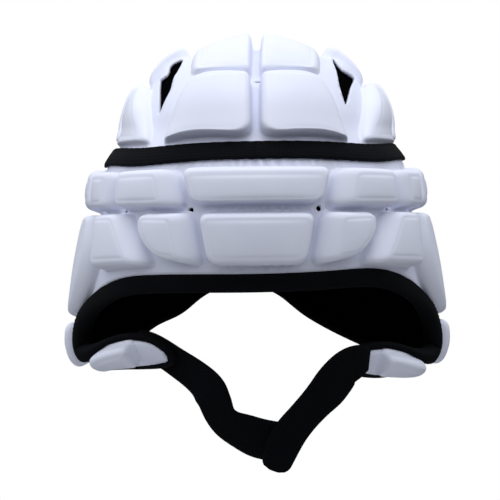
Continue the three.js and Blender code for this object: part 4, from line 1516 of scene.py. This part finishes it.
def stitch_tree():
    """Lays capsules of thread along a line."""
    kinds = {
        "Pitch": "NodeSocketFloat",
        "Stitch length": "NodeSocketFloat",
        "Thread": "NodeSocketFloat",
        "Material": "NodeSocketMaterial",
    }
    build, given = new_tree("sew", kinds)
    line = build.node("GeometryNodeMeshToCurve", in_0=given["Geometry"])
    pitch, wide, long = given["Pitch"], given["Thread"], given["Stitch length"]
    steps = build.node("GeometryNodeCurveToPoints", {"mode": "LENGTH"}, Curve=line, Length=pitch)
    capsule = build.node(
        "GeometryNodeMeshUVSphere", Segments=CAPSULE_SEGMENTS, Rings=CAPSULE_RINGS, Radius=0.5
    )
    size = build.node("ShaderNodeCombineXYZ", X=wide, Y=wide, Z=long)
    along = turned_to(build, steps.other("Tangent"))
    laid = build.node(
        "GeometryNodeInstanceOnPoints", Points=steps, Instance=capsule, Rotation=along, Scale=size
    )
    return end_tree(build, laid, given["Material"])


SEW = stitch_tree()
STITCH_PITCH, STITCH_LENGTH, THREAD = 3.0, 2.2, 0.5
# Which of a section's points the lines of stitches run along: one of the roll's, and two
# pairs of neighbours of a strip's, each beside an edge.
ROLL_SEAM, STRIP_SEAMS = 6, [(4, 5), (9, 10)]
STRAP_SEWN = slice(3, -6)  # the part of a strap's rings that is sewn


def sew(name, lines, slot):
    """Sews along lines of points, in millimetres. Each is (points, closed)."""
    points, edges = [], []
    for line, closed in lines:
        first, count = len(points), len(line)
        points += (np.asarray(line) * MM).tolist()
        steps = count if closed else count - 1
        edges += [(first + i, first + (i + 1) % count) for i in range(steps)]
    mesh = bpy.data.meshes.new(name)
    mesh.from_pydata(points, edges, [])
    obj = link_object(name, mesh)
    sizes = {"Pitch": STITCH_PITCH, "Stitch length": STITCH_LENGTH, "Thread": THREAD}
    values = {key: size * MM for key, size in sizes.items()}
    run_tree(obj, SEW, {**values, "Material": BLACK_THREAD})
    finish_piece(obj, BLACK_THREAD, slot)
    capsules = len(obj.data.polygons) // (CAPSULE_SEGMENTS * CAPSULE_RINGS)
    print(name, capsules, "stitches")
    return obj


def seams(rings, closed):
    """The two lines of stitches along a swept strip."""
    return [((rings[:, near] + rings[:, far]) / 2, closed) for near, far in STRIP_SEAMS]


sew("binding_stitches", [(rings[:, ROLL_SEAM], True)], "black_binding")
band_stitches = sew("band_stitches", seams(band_rings, True), "black_elastic")
strap_stitches = {}
for name, (strap, length, width, strap_rings) in straps.items():
    lines = seams(strap_rings[STRAP_SEWN], False)
    strap_stitches[name] = sew(name + "_stitches", lines, "black_strap")

# %% [markdown]
# ## The cloth's flat sizes
# The size that each strap and the band would be cut to, flat, and the stitches sewn on each.

# %% Sheets
for name, (strap, length, width, _) in straps.items():
    flat, sewn = (width * MM, length * MM), [strap_stitches[name]]
    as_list(sewn)
flat, sewn = (BAND_WIDTH * MM, cloth_area(band) / (BAND_WIDTH * MM)), [band_stitches]
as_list(sewn)

for helper in (ear_places, eyelet_places, vents, nothing):
    bpy.data.objects.remove(helper)

# %% [markdown]
# ## Floor, light and camera
# A pale floor lies well below, since a head holds the guard up. The camera sees white all
# round, but the guard is lit by a darker room that is brightest above, beside and in front
# of it, so that the pads' lower walls fall into shade. A small soft light above helps the
# pads' tops to stand out. The camera has a long lens and is level with the brow.

# %% Stage
FLOOR_DROP, FLOOR_REACH = 1.4, 1.3  # a standing head is about this far up
SKY_SLOPE = 1.7  # how fast the room brightens upwards
SKY, FRONT, SIDES, DARKEST = 1.1, 1.15, 1.5, 0.006
FRONT_UP, SIDES_UP, GLOW_REACH = 0.35, 0.05, 0.8  # the glows' heights, and how far they reach
SIDES_FADE = (3.0, 0.6)  # how fast the sides' glow fades below, and what it keeps level
LEFT_LESS = -0.1  # the side towards the wearer's left is this much weaker
TOP_LIGHT_AT, TOP_LIGHT_SIZE, TOP_LIGHT_POWER = (0.0, -0.3, 1.15), 0.6, 4
LENS, SENSOR = 146.664, 36  # millimetres
CAMERA_AT, CAMERA_ROLL = (-0.0035, -1.1, -0.103), 0.5


def make_floor():
    """A round pale floor."""
    bottom = cad_box[0].z - FLOOR_DROP
    turn = np.radians(np.arange(0, 360, 5))
    edge = [(FLOOR_REACH * math.cos(a), FLOOR_REACH * math.sin(a), bottom) for a in turn]
    mesh = bpy.data.meshes.new("floor")
    mesh.from_pydata(edge, [], [tuple(range(len(edge)))])
    material, shader, _ = new_material("pale_floor", 0.8)
    shader.inputs["Base Color"].default_value = rgb(0.85, 0.85, 0.86)
    mesh.materials.append(material)
    link_object("floor", mesh)


def make_world():
    """White to the camera, and a softer, shaded room for the light."""
    world = bpy.data.worlds.new("studio")
    world.use_nodes = True
    tree = Shade(world.node_tree)
    background = world.node_tree.nodes["Background"]
    direction = tree.node("ShaderNodeTexCoord", output="Generated")
    left = tree.node("ShaderNodeSeparateXYZ", in_0=direction)
    up, ahead = left.other(2), (left.other(1) * -1.0).clamped(0.0, 1.0)

    def glow_at(height):
        """1 or less near a height on the room's wall, and 0 far from it."""
        return (GLOW_REACH - up.maths("ABSOLUTE", up - height)).clamped(0.0, 1.0)

    fade, kept = SIDES_FADE
    aside = left * LEFT_LESS + left.maths("ABSOLUTE", left)
    beside = aside * aside
    sky = (up * SKY_SLOPE).clamped(0.0, 1.0) * (SKY + ahead * ahead * glow_at(FRONT_UP) * FRONT)
    sides = beside * beside * (glow_at(SIDES_UP) * (up * fade + kept).clamped(0.0, 1.0)) * SIDES
    light = sky + sides + DARKEST
    seen = tree.node("ShaderNodeLightPath", output="Is Camera Ray")
    colour = seen.blend(rgb(0.91, 0.94, 1.0), rgb(1.0, 1.0, 1.0))
    strength = seen + (1.0 - seen) * light
    tree.feed(background.inputs["Color"], colour)
    tree.feed(background.inputs["Strength"], strength)
    bpy.context.scene.world = world


def make_top_light():
    """A small round soft light that looks down at the guard."""
    light = bpy.data.lights.new("top_light", "AREA")
    light.shape, light.size, light.energy = "DISK", TOP_LIGHT_SIZE, TOP_LIGHT_POWER
    light.color = (0.94, 0.96, 1.0)
    lamp = link_object("top_light", light)
    lamp.location = TOP_LIGHT_AT
    towards = Vector((0, 0, -0.06)) - Vector(TOP_LIGHT_AT)
    lamp.rotation_euler = towards.to_track_quat("-Z", "Y").to_euler()
    lamp.visible_camera = False


def make_camera():
    """The scene's camera, level and in front."""
    data = bpy.data.cameras.new("camera")
    data.sensor_width, data.lens = SENSOR, LENS
    camera = link_object("camera", data)
    camera.location = CAMERA_AT
    camera.rotation_euler = (math.radians(90), math.radians(CAMERA_ROLL), 0)
    bpy.context.scene.camera = camera


make_floor()
make_world()
make_top_light()
make_camera()
bpy.context.scene.view_settings.view_transform = "Standard"

# %% Sizes, and the end
print("CAD box", [round(x, 4) for x in (*cad_box[0], *cad_box[1])])
